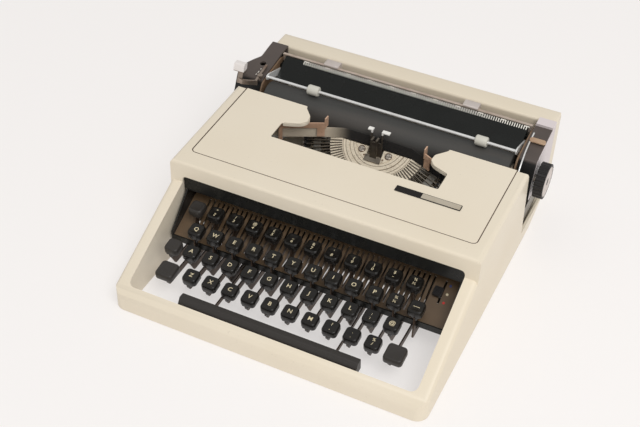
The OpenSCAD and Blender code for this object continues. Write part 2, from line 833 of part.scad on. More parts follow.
module return_lever() color(steel) {
    path = [[-133.2, 244.9], [-140, 241.6], [-146.5, 239.6], [-150, 240.4]];
    side([[266.4, 97.2], [266.4, 98.8], [254, 96.6], [246.5, 95], [243.8, 93.8], [243.8, 88.6],
        [245.4, 88.6], [245.4, 92.8], [247.5, 93.8], [254, 95.1]], -134.9, -132.7);
    translate([0, y0, 88.6])
        linear_extrude(height = 5)
            for (i = [0:len(path) - 2]) {
                polygon(band(path[i], path[i + 1], 1.6));
                translate(path[i + 1])
                    circle(r = 0.8);
            }
    side([[239.3, 88.6], [240.9, 88.6], [248.4, 104], [246.8, 104]], -152.6, -147.6);
    side(soften([[242.8, 97.6], [250.2, 97.6], [252.2, 105.9], [245.4, 105.9]], [1.5, 1.5, 1.5, 1.5]),
        -157.8, -147);
    rod_z(-133, 251, 1.5, 88, 95.6);
    rod_z(-133, 251, 2.6, 94.2, 96.4);
}

module release_lever() color([0.78, 0.66, 0.48]) {
    translate([0, y0, 98])
        linear_extrude(height = 1.3)
            polygon([for (p = box2(15, 6.4, 2.4)) p + [138.4, 272]]);
    rod_z(134, 272, 1.5, 90, 98.4);
    rod_z(134, 272, 2.5, 97.3, 98.1);
}

body_shell();
feet();
mechanism() chassis();
mechanism() pivot_rod();
well_trim();
key_comb();
ribbon_cover();
name_plate();
ribbon_selector();
space_bar();
shift_bail();
shift_lock();
row_key(0, 0);  // margin_release
row_key(1, 11);  // backspace
for (i = [1:11]) row_key(0, i);  // number_keys
for (i = [0:10]) row_key(1, i);  // top_letter_keys
for (i = [0:10]) row_key(2, i);
for (i = [0:9]) row_key(3, i);
mechanism() segment();
mechanism() type_bars();
mechanism() basket_frame();
mechanism() type_guide();
mechanism() ribbon_vibrator();
mechanism() ribbon_guides();
mechanism() spool_decks();
mechanism() spool(-1);  // spool_left
mechanism() spool(1);  // spool_right
mechanism() ribbon();
mechanism() carriage_rail();
mechanism() carriage_frame();
mechanism() end_caps();
mechanism() platen();
mechanism() platen_knob();
mechanism() paper_table();
mechanism() margin_rail();
mechanism() margin_stop(-76);  // margin_stop_left
mechanism() margin_stop(67);  // margin_stop_right
mechanism() paper_bail();
mechanism() bail_rollers();
mechanism() return_lever();
mechanism() release_lever();
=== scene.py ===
"""Portable typewriter: the looks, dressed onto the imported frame.

X runs to the typist's right, Y to the back and Z up, in metres. Every sub-assembly is a class
with its sizes as fields and methods that build and dress its pieces. Its sizes are in mm, and
distances are counted from the body's front edge. Finishes and the studio count in metres.
"""

import json
import logging
import math
from dataclasses import dataclass, field
from enum import Enum
from typing import Iterable, Sequence

import bmesh
import bpy
from mathutils import Matrix, Vector


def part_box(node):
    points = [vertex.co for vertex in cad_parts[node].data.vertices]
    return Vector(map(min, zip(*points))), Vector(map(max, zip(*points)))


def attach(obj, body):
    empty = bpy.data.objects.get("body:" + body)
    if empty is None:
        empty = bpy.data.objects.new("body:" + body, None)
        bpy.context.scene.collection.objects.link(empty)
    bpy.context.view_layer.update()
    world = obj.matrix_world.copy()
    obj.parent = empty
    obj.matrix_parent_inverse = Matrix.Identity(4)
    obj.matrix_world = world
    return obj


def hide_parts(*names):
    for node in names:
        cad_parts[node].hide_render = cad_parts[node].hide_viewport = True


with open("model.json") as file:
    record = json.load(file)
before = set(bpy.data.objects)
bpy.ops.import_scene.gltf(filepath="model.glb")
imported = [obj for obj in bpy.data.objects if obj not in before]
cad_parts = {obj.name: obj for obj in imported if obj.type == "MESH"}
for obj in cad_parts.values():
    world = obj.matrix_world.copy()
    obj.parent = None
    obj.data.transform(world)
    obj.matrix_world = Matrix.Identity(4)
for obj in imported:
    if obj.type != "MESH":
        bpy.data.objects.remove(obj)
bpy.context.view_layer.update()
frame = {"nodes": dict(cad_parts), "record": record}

LOG = logging.getLogger("typewriter")
MM = 0.001
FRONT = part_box("body_shell")[0][1]

# Degrees: edges sharper than these stay sharp, are rounded, or are kept when flat faces merge.
CREASE = 34.0
SOFT_CREASE = 50.0
BEVEL_ANGLE = 32.0
FLAT_ANGLE = 0.6

# Metres, and a share of a letter's height.
MERGE_DISTANCE = 2e-6
BOLDNESS = 0.012

RECORD = frame["record"]
NODE_BODY = {
    node: body for body, nodes in RECORD["behaviour"]["bodies"].items() for node in nodes
}

Pair = tuple[float, float]
Point = tuple[float, float, float]
Colour = tuple[float, float, float]
Mesh = bpy.types.Mesh
Material = bpy.types.Material
Thing = bpy.types.Object


def behind(distance: float) -> float:
    """Y of a place that lies distance (mm) behind the front edge of the body."""
    return FRONT + distance * MM


def spot(x: float, distance: float, z: float) -> Vector:
    """A place from X, distance behind the front edge and height, all in mm."""
    return Vector((x * MM, behind(distance), z * MM))


def srgb(red: int, green: int, blue: int) -> Colour:
    """A colour picked on a screen, 0 to 255, as the linear values that shaders take."""
    levels = [level / 255 for level in (red, green, blue)]
    return tuple(v / 12.92 if v < 0.04045 else ((v + 0.055) / 1.055) ** 2.4 for v in levels)


def shaded(colour: Colour, share: float, glow: float = 0.0) -> Colour:
    """A colour with a share of its light, and a grey glow added."""
    return tuple(part * share + glow for part in colour)


# Node trees


class Axis(Enum):
    """The axes, by the names of a Separate XYZ node's outputs."""

    X = "X"
    Y = "Y"
    Z = "Z"


class Signal:
    """A value in a node tree. Python's operators on it add Math nodes."""

    def __init__(self, tree: "Tree", socket: bpy.types.NodeSocket) -> None:
        """Wraps one output socket of a tree."""
        self.tree = tree
        self.socket = socket

    def math(self, operation: str, *others: "Signal | float") -> "Signal":
        """A Math node on this value and others."""
        inputs = dict(enumerate((self, *others)))
        return self.tree.node("ShaderNodeMath", {"operation": operation}, inputs)

    def __add__(self, other: "Signal | float") -> "Signal":
        """self + other."""
        return self.math("ADD", other)

    def __sub__(self, other: "Signal | float") -> "Signal":
        """self - other."""
        return self.math("SUBTRACT", other)

    def __rsub__(self, other: float) -> "Signal":
        """other - self."""
        return self.math("MULTIPLY_ADD", -1.0, other)

    def __mul__(self, other: "Signal | float") -> "Signal":
        """self * other."""
        return self.math("MULTIPLY", other)

    def __truediv__(self, other: "Signal | float") -> "Signal":
        """self / other."""
        return self.math("DIVIDE", other)

    def over(self, edge: float, width: float) -> "Signal":
        """0 below edge, 1 above it, with a soft step of that width to both sides."""
        settings = {"interpolation_type": "SMOOTHSTEP", "clamp": True}
        inputs = {"Value": self, "From Min": edge - width, "From Max": edge + width}
        return self.tree.node("ShaderNodeMapRange", settings, inputs)


class Tree:
    """A node tree built by script, with every node from one method."""

    def __init__(self, tree: bpy.types.NodeTree) -> None:
        """Takes the tree that the nodes go into."""
        self.tree = tree

    def node(
        self,
        kind: str,
        settings: dict[str, object] | None = None,
        inputs: dict[str | int, object] | None = None,
        output: str | int = 0,
    ) -> Signal:
        """Adds a node.

        Args:
            kind: the node's type.
            settings: its attributes, set first.
            inputs: values or signals of its sockets, by name or number.
            output: the socket that the result comes from.

        Returns:
            The output as a signal.
        """
        node = self.tree.nodes.new(kind)
        for key, value in (settings or {}).items():
            setattr(node, key, value)
        for key, value in (inputs or {}).items():
            if isinstance(key, str):
                socket = next(s for s in node.inputs if s.name == key and s.enabled)
            else:
                socket = node.inputs[key]
            self.feed(socket, value)
        return Signal(self, node.outputs[output])

    def feed(self, socket: bpy.types.NodeSocket, value: object) -> None:
        """Sets a socket's value, or links a signal to it."""
        if isinstance(value, Signal):
            self.tree.links.new(value.socket, socket)
        elif isinstance(value, tuple) and len(value) == 3 and socket.type == "RGBA":
            socket.default_value = (*value, 1.0)
        else:
            socket.default_value = value


class Shader(Tree):
    """Builds one material's nodes round a Principled shader."""

    def __init__(self, name: str) -> None:
        """Starts an empty material with that name."""
        self.material = bpy.data.materials.new(name)
        self.material.use_nodes = True
        super().__init__(self.material.node_tree)
        self.surface = self.tree.nodes["Principled BSDF"]

    def place(
        self, scale: Point = (1, 1, 1), origin: Point = (0, 0, 0), lean: float = 0.0
    ) -> Signal:
        """Object coordinates from an origin on a plane, scaled.

        Args:
            scale: stretch along the three axes.
            origin: the place that becomes zero.
            lean: the plane's turn about X in degrees.

        Returns:
            The coordinates.
        """
        where = self.node("ShaderNodeTexCoord", output="Object")
        inputs = {"Vector": where, "Location": origin, "Rotation": (math.radians(lean), 0, 0)}
        local = self.node("ShaderNodeMapping", {"vector_type": "TEXTURE"}, inputs)
        return self.node("ShaderNodeMapping", None, {"Vector": local, "Scale": scale})

    def noise(self, scale: float, detail: float = 3.0, at: Signal | None = None) -> Signal:
        """Noise from 0 to 1, scale features to a metre, on object or given coordinates."""
        inputs = {"Vector": at or self.place(), "Scale": scale, "Detail": detail}
        return self.node("ShaderNodeTexNoise", None, inputs)

    def beyond(self, axis: Axis, edge: float, width: float = 0.0003) -> Signal:
        """1 where an object coordinate is more than edge metres, 0 before it."""
        where = self.node("ShaderNodeTexCoord", output="Object")
        part = self.node("ShaderNodeSeparateXYZ", None, {"Vector": where}, axis.value)
        return part.over(edge, width)

    def blend(self, factor: Signal | float, first: object, second: object) -> Signal:
        """A colour between two, by a factor."""
        inputs = {0: factor, 6: first, 7: second}
        return self.node("ShaderNodeMix", {"data_type": "RGBA"}, inputs, 2)

    def bump(self, height: Signal, depth: float) -> Signal:
        """A normal from a height of 0 to 1 that stands for depth metres."""
        return self.node("ShaderNodeBump", None, {"Height": height, "Distance": depth})

    def finish(self, **sockets: object) -> Material:
        """Feeds the Principled shader's sockets and hands over the material.

        Args:
            sockets: values or signals, with an underscore for a space in a socket's name.

        Returns:
            The finished material.
        """
        for key, value in sockets.items():
            self.feed(self.surface.inputs[key.replace("_", " ")], value)
        return self.material


@dataclass(frozen=True)
class Finish:
    """What every finish has: a name and a way to its material."""

    name: str

    def shade(self, shader: Shader) -> Material:
        """Builds the nodes. Each kind of finish has its own."""
        raise NotImplementedError

    def material(self) -> Material:
        """The finish's material, built the first time it is asked for."""
        name = f"{self.name}_finish"
        return bpy.data.materials.get(name) or self.shade(Shader(name))


@dataclass(frozen=True)
class Moulding(Finish):
    """Satin moulded plastic that has aged: faint blotches, fine grain and a few specks."""

    colour: Colour
    aged: Colour
    gloss: float
    specks: float

    def shade(self, shader: Shader) -> Material:
        """Blotches tint the colour, grain makes the bump, specks are dust and scuffs."""
        blotch = shader.noise(9.0, 4.0)
        grain = shader.noise(1500.0, 2.0)
        dust = shader.noise(420.0, 1.0).over(0.735, 0.02) * shader.noise(24.0, 2.0).over(0.5, 0.1)
        colour = shader.blend(blotch.over(0.5, 0.22) * 0.55, self.colour, self.aged)
        return shader.finish(
            Base_Color=shader.blend(dust * self.specks, colour, shaded(self.aged, 0.45)),
            Roughness=blotch * 0.16 + grain * 0.08 + (self.gloss - 0.12),
            Normal=shader.bump(grain, 0.00006),
        )


@dataclass(frozen=True)
class Gloss(Finish):
    """Dark gloss or semi-gloss plastic and enamel with a little dust and rub marks."""

    colour: Colour
    rough: float
    dusty: float
    ripple: float
    shine: float

    def shade(self, shader: Shader) -> Material:
        """Rub marks change the gloss, dust greys the colour in patches."""
        rub = shader.noise(60.0, 5.0)
        fine = shader.noise(1900.0, 2.0)
        dust = shader.noise(900.0, 2.0).over(0.6, 0.06) * shader.noise(35.0, 2.0)
        pale = shaded(self.colour, 0.5, 0.1)
        return shader.finish(
            Base_Color=shader.blend(dust * self.dusty, self.colour, pale),
            Roughness=rub * 0.22 + fine * 0.06 + (self.rough - 0.12),
            Normal=shader.bump(rub * 0.4 + fine * 0.6, self.ripple),
            Specular_IOR_Level=self.shine,
        )


@dataclass(frozen=True)
class CapLacquer(Finish):
    """The carriage end covers: worn brown-grey on top, black in front, a pale outer side."""

    top: Colour
    front: Colour
    side: Colour
    front_top: float = 0.0905
    blur: float = 0.0015
    side_x: float = 0.1458
    block: Point = (0.129, behind(292.9), 0.0985)

    def shade(self, shader: Shader) -> Material:
        """Height parts top from front, and the right cap's side and rear block are pale."""
        rub = shader.noise(60.0, 5.0)
        fine = shader.noise(1500.0, 2.0)
        high = shader.beyond(Axis.Z, self.front_top, self.blur)
        right, rear, upper = (shader.beyond(axis, least) for axis, least in zip(Axis, self.block))
        pale = 1.0 - (1.0 - shader.beyond(Axis.X, self.side_x)) * (1.0 - right * rear * upper)
        dark = shader.blend(high * (rub * 0.4 + 0.75), self.front, self.top)
        return shader.finish(
            Base_Color=shader.blend(pale * (fine * 0.05 + 0.95), dark, self.side),
            Roughness=rub * 0.2 + fine * 0.1 + high * 0.12 + 0.2,
            Normal=shader.bump(rub * 0.3 + fine * 0.7, 0.00003),
            Specular_IOR_Level=0.4,
        )


@dataclass(frozen=True)
class Enamel(Finish):
    """Paint on sheet metal, rubbed through to the metal in small spots."""

    colour: Colour
    bare: Colour
    rough: float
    worn: float

    def shade(self, shader: Shader) -> Material:
        """A threshold on noise decides where the bare metal shows."""
        patch = shader.noise(55.0, 6.0)
        fine = shader.noise(1300.0, 2.0)
        shade = shader.noise(14.0, 3.0)
        chipped = (patch * 0.75 + fine * 0.3).over(self.worn, 0.015)
        paint = shader.blend(shade.over(0.5, 0.2), self.colour, shaded(self.colour, 0.62))
        return shader.finish(
            Base_Color=shader.blend(chipped, paint, self.bare),
            Metallic=chipped * 0.9,
            Roughness=patch * 0.2 + fine * 0.1 + (self.rough - 0.15),
            Normal=shader.bump(fine * 0.5 - chipped, 0.00004),
        )


@dataclass(frozen=True)
class Metal(Finish):
    """Bare or plated metal with brush lines along one axis and faint tarnish."""

    colour: Colour
    tarnish: Colour
    rough: float
    along: Point
    stained: float = 0.5
    purity: float = 1.0
    tip_height: float = 1.0
    tip: Colour = (0.7, 0.66, 0.64)

    def shade(self, shader: Shader) -> Material:
        """Stretched noise carries the lines, a broad one the tarnish, height a pale tip."""
        lines = shader.noise(2600.0, 2.0, shader.place(self.along))
        cloud = shader.noise(70.0, 5.0)
        spots = shader.noise(700.0, 3.0).over(0.66, 0.04) * cloud.over(0.5, 0.1)
        stain = cloud.over(0.56, 0.16) * self.stained + spots * 0.5 * self.stained
        tip = shader.beyond(Axis.Z, self.tip_height)
        metal = shader.blend(stain, self.colour, self.tarnish)
        return shader.finish(
            Base_Color=shader.blend(tip, metal, self.tip),
            Metallic=(1.0 - stain * 0.35) * (1.0 - tip) * self.purity,
            Roughness=lines * 0.18 + cloud * 0.16 + (self.rough - 0.14),
            Normal=shader.bump(lines, 0.00002),
        )


@dataclass(frozen=True)
class Turned(Finish):
    """Pale machined metal with rings round one centre, on a leaning plane."""

    colour: Colour
    # The second colour is for grime, and for painted shade in the grooves.
    grime_and_shade: Colour
    centre: Point
    lean: float
    grooves: tuple[float, ...]
    groove_half: float = 0.0003
    groove_blur: float = 0.0001

    def shade(self, shader: Shader) -> Material:
        """Fine rings come from the distance to the centre, in the plane, and so do the grooves'
        dark bands of painted shade and grime.
        """
        at = shader.place(origin=self.centre, lean=self.lean)
        flat = shader.node("ShaderNodeVectorMath", {"operation": "MULTIPLY"}, {0: at, 1: (1, 1, 0)})
        radius = shader.node("ShaderNodeVectorMath", {"operation": "LENGTH"}, {0: flat}, "Value")
        rings = (radius * 14000.0).math("SINE")
        cloud = shader.noise(110.0, 5.0)
        grime = shader.noise(900.0, 3.0).over(0.58, 0.08) * cloud.over(0.46, 0.12)
        shade = grime * 0.5 + cloud * 0.12
        # Each groove is a dark band: painted shade and grime.
        for groove in self.grooves:
            inside = radius.over(groove - self.groove_half, self.groove_blur)
            outside = radius.over(groove + self.groove_half, self.groove_blur)
            shade = shade + inside * (1.0 - outside) * 0.75
        return shader.finish(
            Base_Color=shader.blend(shade, self.colour, self.grime_and_shade),
            Metallic=0.3 - grime * 0.2,
            Roughness=cloud * 0.2 + 0.34,
            Normal=shader.bump(rings, 0.000008),
        )


@dataclass(frozen=True)
class Rubber(Finish):
    """Ground rubber: matt, with fine turning lines and a polished, dusty band."""

    colour: Colour
    pale: Colour
    rough: float = 0.62

    def shade(self, shader: Shader) -> Material:
        """Lines run round the roller, dust gathers in long streaks."""
        lines = shader.noise(900.0, 3.0, shader.place((1.0, 0.05, 0.05)))
        streak = shader.noise(60.0, 4.0, shader.place((0.12, 1.0, 1.0)))
        return shader.finish(
            Base_Color=shader.blend(streak.over(0.56, 0.2) * 0.45, self.colour, self.pale),
            Roughness=streak * 0.25 + lines * 0.12 + (self.rough - 0.18),
            Normal=shader.bump(lines, 0.00003),
        )


@dataclass(frozen=True)
class Cloth(Finish):
    """Inked woven tape."""

    colour: Colour
    thread: Colour
    # The third colour is a painted sheen: the pale look of light glancing off the left end, with
    # where along X it stops and how softly.
    painted_sheen: Colour
    pitch: float = 0.00045
    painted_sheen_end: float = -0.038
    painted_sheen_blur: float = 0.012

    def shade(self, shader: Shader) -> Material:
        """Two crossed waves make the weave, and a painted sheen makes the left end pale."""
        scale = math.tau / self.pitch / 20.0
        inputs = {"Vector": shader.place(), "Scale": scale}
        warp, weft = (
            shader.node("ShaderNodeTexWave", {"bands_direction": axis.value}, inputs, 1)
            for axis in (Axis.Z, Axis.X)
        )
        weave = warp * weft
        # Painted sheen: 0 on the left end, where the pale colour stands for light glancing off the
        # weave.
        beyond_sheen = shader.beyond(Axis.X, self.painted_sheen_end, self.painted_sheen_blur)
        weave_colour = shader.blend(weave * 0.5, self.colour, self.thread)
        return shader.finish(
            Base_Color=shader.blend(beyond_sheen, self.painted_sheen, weave_colour),
            Roughness=0.9 - weave * 0.15,
            Normal=shader.bump(weave, 0.0001),
        )


@dataclass(frozen=True)
class Paint(Finish):
    """Filled lettering and marks: flat paint that has yellowed and worn thin in places."""

    colour: Colour
    under: Colour
    wear: float = 0.68

    def shade(self, shader: Shader) -> Material:
        """Fine noise lets a little of what is under the paint through."""
        thin = shader.noise(1800.0, 3.0).over(self.wear, 0.05)
        tone = shader.noise(260.0, 2.0)
        colour = shader.blend(tone, self.colour, shaded(self.colour, 0.8))
        return shader.finish(
            Base_Color=shader.blend(thin * 0.7, colour, self.under),
            Roughness=tone * 0.2 + 0.45,
        )


# How the brush lines of a metal are stretched when they run along X.
BRUSH_X = (0.05, 1, 1)

CREAM = Moulding("cream_shell", srgb(231, 220, 200), srgb(225, 212, 188), 0.42, 0.12)
CREAM_COVER = Moulding("cream_cover", srgb(232, 221, 201), srgb(227, 214, 191), 0.4, 0.12)
TRIM = Gloss("well_trim_gloss", (0.010, 0.010, 0.009), 0.26, 0.04, 0.00001, 0.4)
KEYTOP = Gloss("key_caps", (0.008, 0.007, 0.006), 0.25, 0.1, 0.00002, 0.4)
PLAIN_TOP = Gloss("plain_caps", (0.032, 0.028, 0.025), 0.4, 0.1, 0.00002, 0.4)
KNOB = Gloss("knob_black", (0.012, 0.010, 0.010), 0.45, 0.12, 0.00002, 0.35)
TABLE = Gloss("paper_table_black", (0.008, 0.009, 0.008), 0.25, 0.04, 0.00001, 0.28)
BADGE = Gloss("badge_black", (0.012, 0.010, 0.009), 0.35, 0.06, 0.00001, 0.2)
CAP = CapLacquer("end_cap_lacquer", srgb(84, 75, 70), (0.010, 0.010, 0.010), srgb(222, 212, 212))
BROWN = Enamel("brown_comb", srgb(112, 90, 66), srgb(168, 132, 90), 0.42, 0.76)
BROWN_FRAME = Enamel("brown_frame", srgb(132, 106, 82), srgb(176, 122, 74), 0.45, 0.70)
DARK_METAL = Enamel("black_metal", (0.020, 0.019, 0.018), srgb(130, 125, 118), 0.35, 0.76)
# The seam band's colour: painted shade and dirt in the gap round the cover.
SEAM = Enamel("seam_shadow", srgb(84, 62, 48), srgb(150, 110, 76), 0.6, 0.78)
LEVER = Metal("key_levers", srgb(88, 74, 64), srgb(60, 48, 38), 0.42, (1, 0.04, 1), 0.7)
FRAME_STEEL = Metal("frame_steel", srgb(150, 147, 140), srgb(110, 96, 78), 0.38, BRUSH_X)
TYPE_STEEL = Metal("type_steel", srgb(140, 132, 120), srgb(52, 42, 34), 0.3, (1, 1, 1), 0.8)
PLATED = Metal("plated_steel", srgb(178, 170, 160), srgb(140, 122, 100), 0.36, BRUSH_X, 0.5)
RAIL = Metal("rail_metal", srgb(212, 196, 182), srgb(150, 122, 104), 0.42, BRUSH_X, 0.4, 0.7)
CHROME = Metal("chrome", srgb(240, 240, 238), srgb(168, 162, 154), 0.24, BRUSH_X, 0.25, 0.5)
COPPER = Metal("copper_guides", srgb(218, 180, 152), srgb(160, 122, 94), 0.4, BRUSH_X, 0.5, 0.25)
BRASS = Metal("brass_tab", srgb(200, 170, 140), srgb(158, 118, 92), 0.42, BRUSH_X, 0.5, 0.5)
PALE_METAL = Metal("pale_metal", srgb(214, 204, 198), srgb(180, 168, 156), 0.45, BRUSH_X, 0.4, 0.5)
HOOKS = Metal(
    "vibrator_steel", srgb(120, 112, 102), srgb(66, 56, 46), 0.3, BRUSH_X, 0.5, 0.8,
    0.0868, srgb(238, 236, 230),
)
SILVER = Metal("badge_silver", srgb(206, 196, 178), srgb(184, 172, 150), 0.5, BRUSH_X, 0.4, 0.6)
SPOON = Metal(
    "return_lever_metal", srgb(162, 148, 136), srgb(120, 92, 72), 0.4, BRUSH_X, 0.7, 0.85,
    0.0990, srgb(232, 226, 222),
)
# The segment's second colour darkens its grime and, as painted shade, its grooves.
SEGMENT = Turned(
    "segment_metal", srgb(232, 219, 196), srgb(110, 92, 72), tuple(spot(0, 236.3, 72.8)), 35.0,
    (0.0243, 0.0279, 0.0318, 0.0346),
)
PLATEN = Rubber("platen_rubber", srgb(60, 60, 58), srgb(88, 80, 74))
FOOT = Rubber("foot_rubber", srgb(34, 33, 32), srgb(70, 66, 62), 0.8)
ROLLER = Moulding("bail_roller_grey", srgb(208, 205, 194), srgb(184, 180, 164), 0.4, 0.2)
# The last colour is the painted sheen on the ribbon's left end.
INK = Cloth("ribbon_cloth", (0.011, 0.010, 0.010), (0.045, 0.038, 0.032), srgb(206, 193, 172))
LEGEND = Paint("legend_cream", srgb(228, 214, 178), (0.03, 0.03, 0.028))
MARK_WHITE = Paint("scale_white", srgb(246, 241, 230), (0.05, 0.05, 0.05), 0.8)
MARK_RED = Paint("mark_red", srgb(206, 44, 36), (0.08, 0.03, 0.02), 0.75)
MARK_BLUE = Paint("mark_blue", srgb(60, 72, 128), (0.05, 0.04, 0.04), 0.75)
HOLE = Paint("dark_recess", (0.008, 0.008, 0.008), (0.02, 0.02, 0.02), 0.9)


# Meshes and pieces


def linked(name: str, data: bpy.types.ID) -> Thing:
    """A new object in the scene."""
    thing = bpy.data.objects.new(name, data)
    bpy.context.scene.collection.objects.link(thing)
    return thing


def show(
    node: str, label: str, mesh: Mesh, finish: Finish, replaces: Sequence[str] = ()
) -> Thing:
    """Makes a mesh a piece of the object.

    Args:
        node: the CAD node whose body it rides on.
        label: what it is called after the node's name.
        mesh: its mesh, in place.
        finish: what its surface is like.
        replaces: the CAD nodes that it stands for.

    Returns:
        The piece.
    """
    mesh.materials.clear()
    mesh.materials.append(finish.material())
    piece = linked(f"{node}_{label}", mesh)
    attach(piece, NODE_BODY[node])
    if replaces:
        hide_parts(*replaces)
    LOG.info("piece %s: %d faces, on %s", piece.name, len(mesh.polygons), NODE_BODY[node])
    return piece


def stand_in(node: str, label: str, mesh: Mesh, finish: Finish) -> Thing:
    """A piece that stands for a CAD node, on its body."""
    return show(node, label, mesh, finish, (node,))


def refined(node: str, finish: Finish, edge: float = 0.0) -> Thing:
    """Stands a smoother copy of a CAD node in its place, its sharp edges rounded by edge mm."""
    mesh = node_form(node)
    return stand_in(node, "skin", rounded(mesh, edge) if edge else mesh, finish)


def settled(form: bmesh.types.BMesh, crease: float = CREASE) -> Mesh:
    """A bmesh as a mesh, shaded smooth but for edges sharper than crease degrees."""
    for face in form.faces:
        face.smooth = True
    for edge in form.edges:
        edge.smooth = edge.calc_face_angle(0.0) < math.radians(crease)
    mesh = bpy.data.meshes.new("form")
    form.to_mesh(mesh)
    form.free()
    return mesh


def node_form(node: str) -> Mesh:
    """A clean copy of a CAD node: doubles merged and flat faces whole again."""
    form = bmesh.new()
    form.from_mesh(frame["nodes"][node].data)
    bmesh.ops.remove_doubles(form, verts=form.verts, dist=MERGE_DISTANCE)
    flat = math.radians(FLAT_ANGLE)
    bmesh.ops.dissolve_limit(form, angle_limit=flat, verts=form.verts, edges=form.edges)
    return settled(form)


def evaluated(holder: Thing) -> Mesh:
    """The plain mesh that an object's modifiers make. The object itself goes."""
    graph = bpy.context.evaluated_depsgraph_get()
    mesh = bpy.data.meshes.new_from_object(holder.evaluated_get(graph))
    bpy.data.objects.remove(holder)
    return mesh


def rounded(mesh: Mesh, width: float, segments: int = 2) -> Mesh:
    """A copy of a mesh with its sharp edges rounded.

    Args:
        mesh: a closed mesh.
        width: the rounding in mm.
        segments: how many faces each rounding has.

    Returns:
        The rounded mesh.
    """
    holder = linked("holder", mesh)
    bevel = holder.modifiers.new("edges", "BEVEL")
    bevel.width = width * MM
    bevel.segments = segments
    bevel.limit_method = "ANGLE"
    bevel.angle_limit = math.radians(BEVEL_ANGLE)
    bevel.harden_normals = True
    return evaluated(holder)


def joined(meshes: Iterable[Mesh]) -> Mesh:
    """Several meshes as one, each edge as sharp as it was."""
    form = bmesh.new()
    for mesh in meshes:
        form.from_mesh(mesh)
    result = bpy.data.meshes.new("joined")
    form.to_mesh(result)
    form.free()
    return result


def placed(mesh: Mesh, matrix: Matrix) -> Mesh:
    """A mesh moved by a matrix, and handed back."""
    mesh.transform(matrix)
    return mesh


def circle(radius: float, count: int = 24) -> list[Pair]:
    """Points round the origin."""
    angles = [math.tau * k / count for k in range(count)]
    return [(radius * math.cos(angle), radius * math.sin(angle)) for angle in angles]


def rounded_box(width: float, depth: float, radius: float, steps: int = 5) -> list[Pair]:
    """Corner points of a rectangle with round corners, round the origin."""
    points = []
    for corner, (sx, sy) in enumerate(((1, 1), (-1, 1), (-1, -1), (1, -1))):
        for i in range(steps + 1):
            angle = math.radians(90 * corner + 90 * i / steps)
            x = sx * (width / 2 - radius) + radius * math.cos(angle)
            y = sy * (depth / 2 - radius) + radius * math.sin(angle)
            points.append((x, y))
    return points


def soften(outline: Sequence[Pair], radii: Sequence[float], steps: int = 5) -> list[Pair]:
    """A closed outline with its corners turned into arcs.

    Args:
        outline: corners in order.
        radii: one radius for each corner, 0 for a sharp one.
        steps: parts of each arc.

    Returns:
        The new outline.
    """
    result = []
    for i, (corner, radius) in enumerate(zip(outline, radii)):
        here = Vector(corner)
        if radius <= 0:
            result.append((here.x, here.y))
            continue
        back = (Vector(outline[i - 1]) - here).normalized()
        ahead = (Vector(outline[(i + 1) % len(outline)]) - here).normalized()
        half = back.angle(ahead) / 2
        middle = here + (back + ahead).normalized() * radius / math.sin(half)
        first = here + back * radius / math.tan(half) - middle
        last = here + ahead * radius / math.tan(half) - middle
        sweep = first.angle_signed(last)
        for k in range(steps + 1):
            turned = Matrix.Rotation(-sweep * k / steps, 2) @ first
            result.append((middle.x + turned.x, middle.y + turned.y))
    return result


def ring(outline: Iterable[Pair], height: float) -> list[Vector]:
    """An outline round the origin at a height, as places in metres."""
    return [Vector((x, y, height)) * MM for x, y in outline]


def skin(rings: Sequence[Sequence[Vector]], crease: float = CREASE) -> Mesh:
    """A closed form through rings of equal count, its two ends closed with a face.

    Args:
        rings: the rings in order.
        crease: edges sharper than this many degrees stay sharp.

    Returns:
        The mesh, its faces pointing outwards.
    """
    form = bmesh.new()
    rows = [[form.verts.new(point) for point in ring] for ring in rings]
    for lower, upper in zip(rows, rows[1:]):
        for i in range(len(lower)):
            j = (i + 1) % len(lower)
            form.faces.new((lower[i], lower[j], upper[j], upper[i]))
    form.faces.new(tuple(reversed(rows[0])))
    form.faces.new(tuple(rows[-1]))
    bmesh.ops.recalc_face_normals(form, faces=form.faces)
    return settled(form, crease)


def prism(outline: Sequence[Pair], x0: float, x1: float) -> Mesh:
    """A side outline of (distance, height) pairs, drawn from x0 to x1."""
    return skin([[spot(x, v, z) for v, z in outline] for x in (x0, x1)])


def plate(outline: Sequence[Pair], low: float, high: float) -> Mesh:
    """An outline as a flat plate from one height to another, round the origin."""
    return skin([ring(outline, z) for z in (low, high)])


def disc(radius: float, low: float, high: float) -> Mesh:
    """A round plate from one height to another, round the origin."""
    return plate(circle(radius), low, high)


def slab(xs: Pair, ys: Pair, zs: Pair) -> Mesh:
    """A box from its limits."""
    return plate([(xs[0], ys[0]), (xs[1], ys[0]), (xs[1], ys[1]), (xs[0], ys[1])], *zs)


def lathe(profile: Sequence[Pair], centre: Vector, count: int = 48) -> Mesh:
    """A form turned about a line along X.

    Args:
        profile: (place along the line, radius) pairs in mm, from one end to the other.
        centre: a place on the line, in metres.
        count: faces round the line.

    Returns:
        The mesh.
    """
    return skin([
        [centre + Vector((along, y, z)) * MM for y, z in circle(radius, count)]
        for along, radius in profile
    ])


def curve_through(points: Sequence[Vector], steps: int = 8) -> list[Vector]:
    """Places along a smooth curve through some points."""
    padded = [points[0], *points, points[-1]]
    way = []
    for a, b, c, d in zip(padded, padded[1:], padded[2:], padded[3:]):
        for t in (k / steps for k in range(steps)):
            way.append(0.5 * (2 * b + (c - a) * t + (2 * a - 5 * b + 4 * c - d) * t * t
                              + (3 * b - a - 3 * c + d) * t ** 3))
    return [*way, points[-1]]


def heading(way: Sequence[Vector], i: int) -> Vector:
    """The direction of a path at its place number i."""
    return (way[min(i + 1, len(way) - 1)] - way[max(i - 1, 0)]).normalized()


def tube(points: Sequence[Vector], radius: float) -> Mesh:
    """A round wire, radius in mm, through some places, its bends smoothed."""
    way = curve_through(points)
    side = (way[1] - way[0]).orthogonal().normalized()
    rings = []
    for i, place in enumerate(way):
        ahead = heading(way, i)
        side = (side - ahead * side.dot(ahead)).normalized()
        up = ahead.cross(side)
        rings.append([place + (side * x + up * y) * MM for x, y in circle(radius, 12)])
    return skin(rings, SOFT_CREASE)


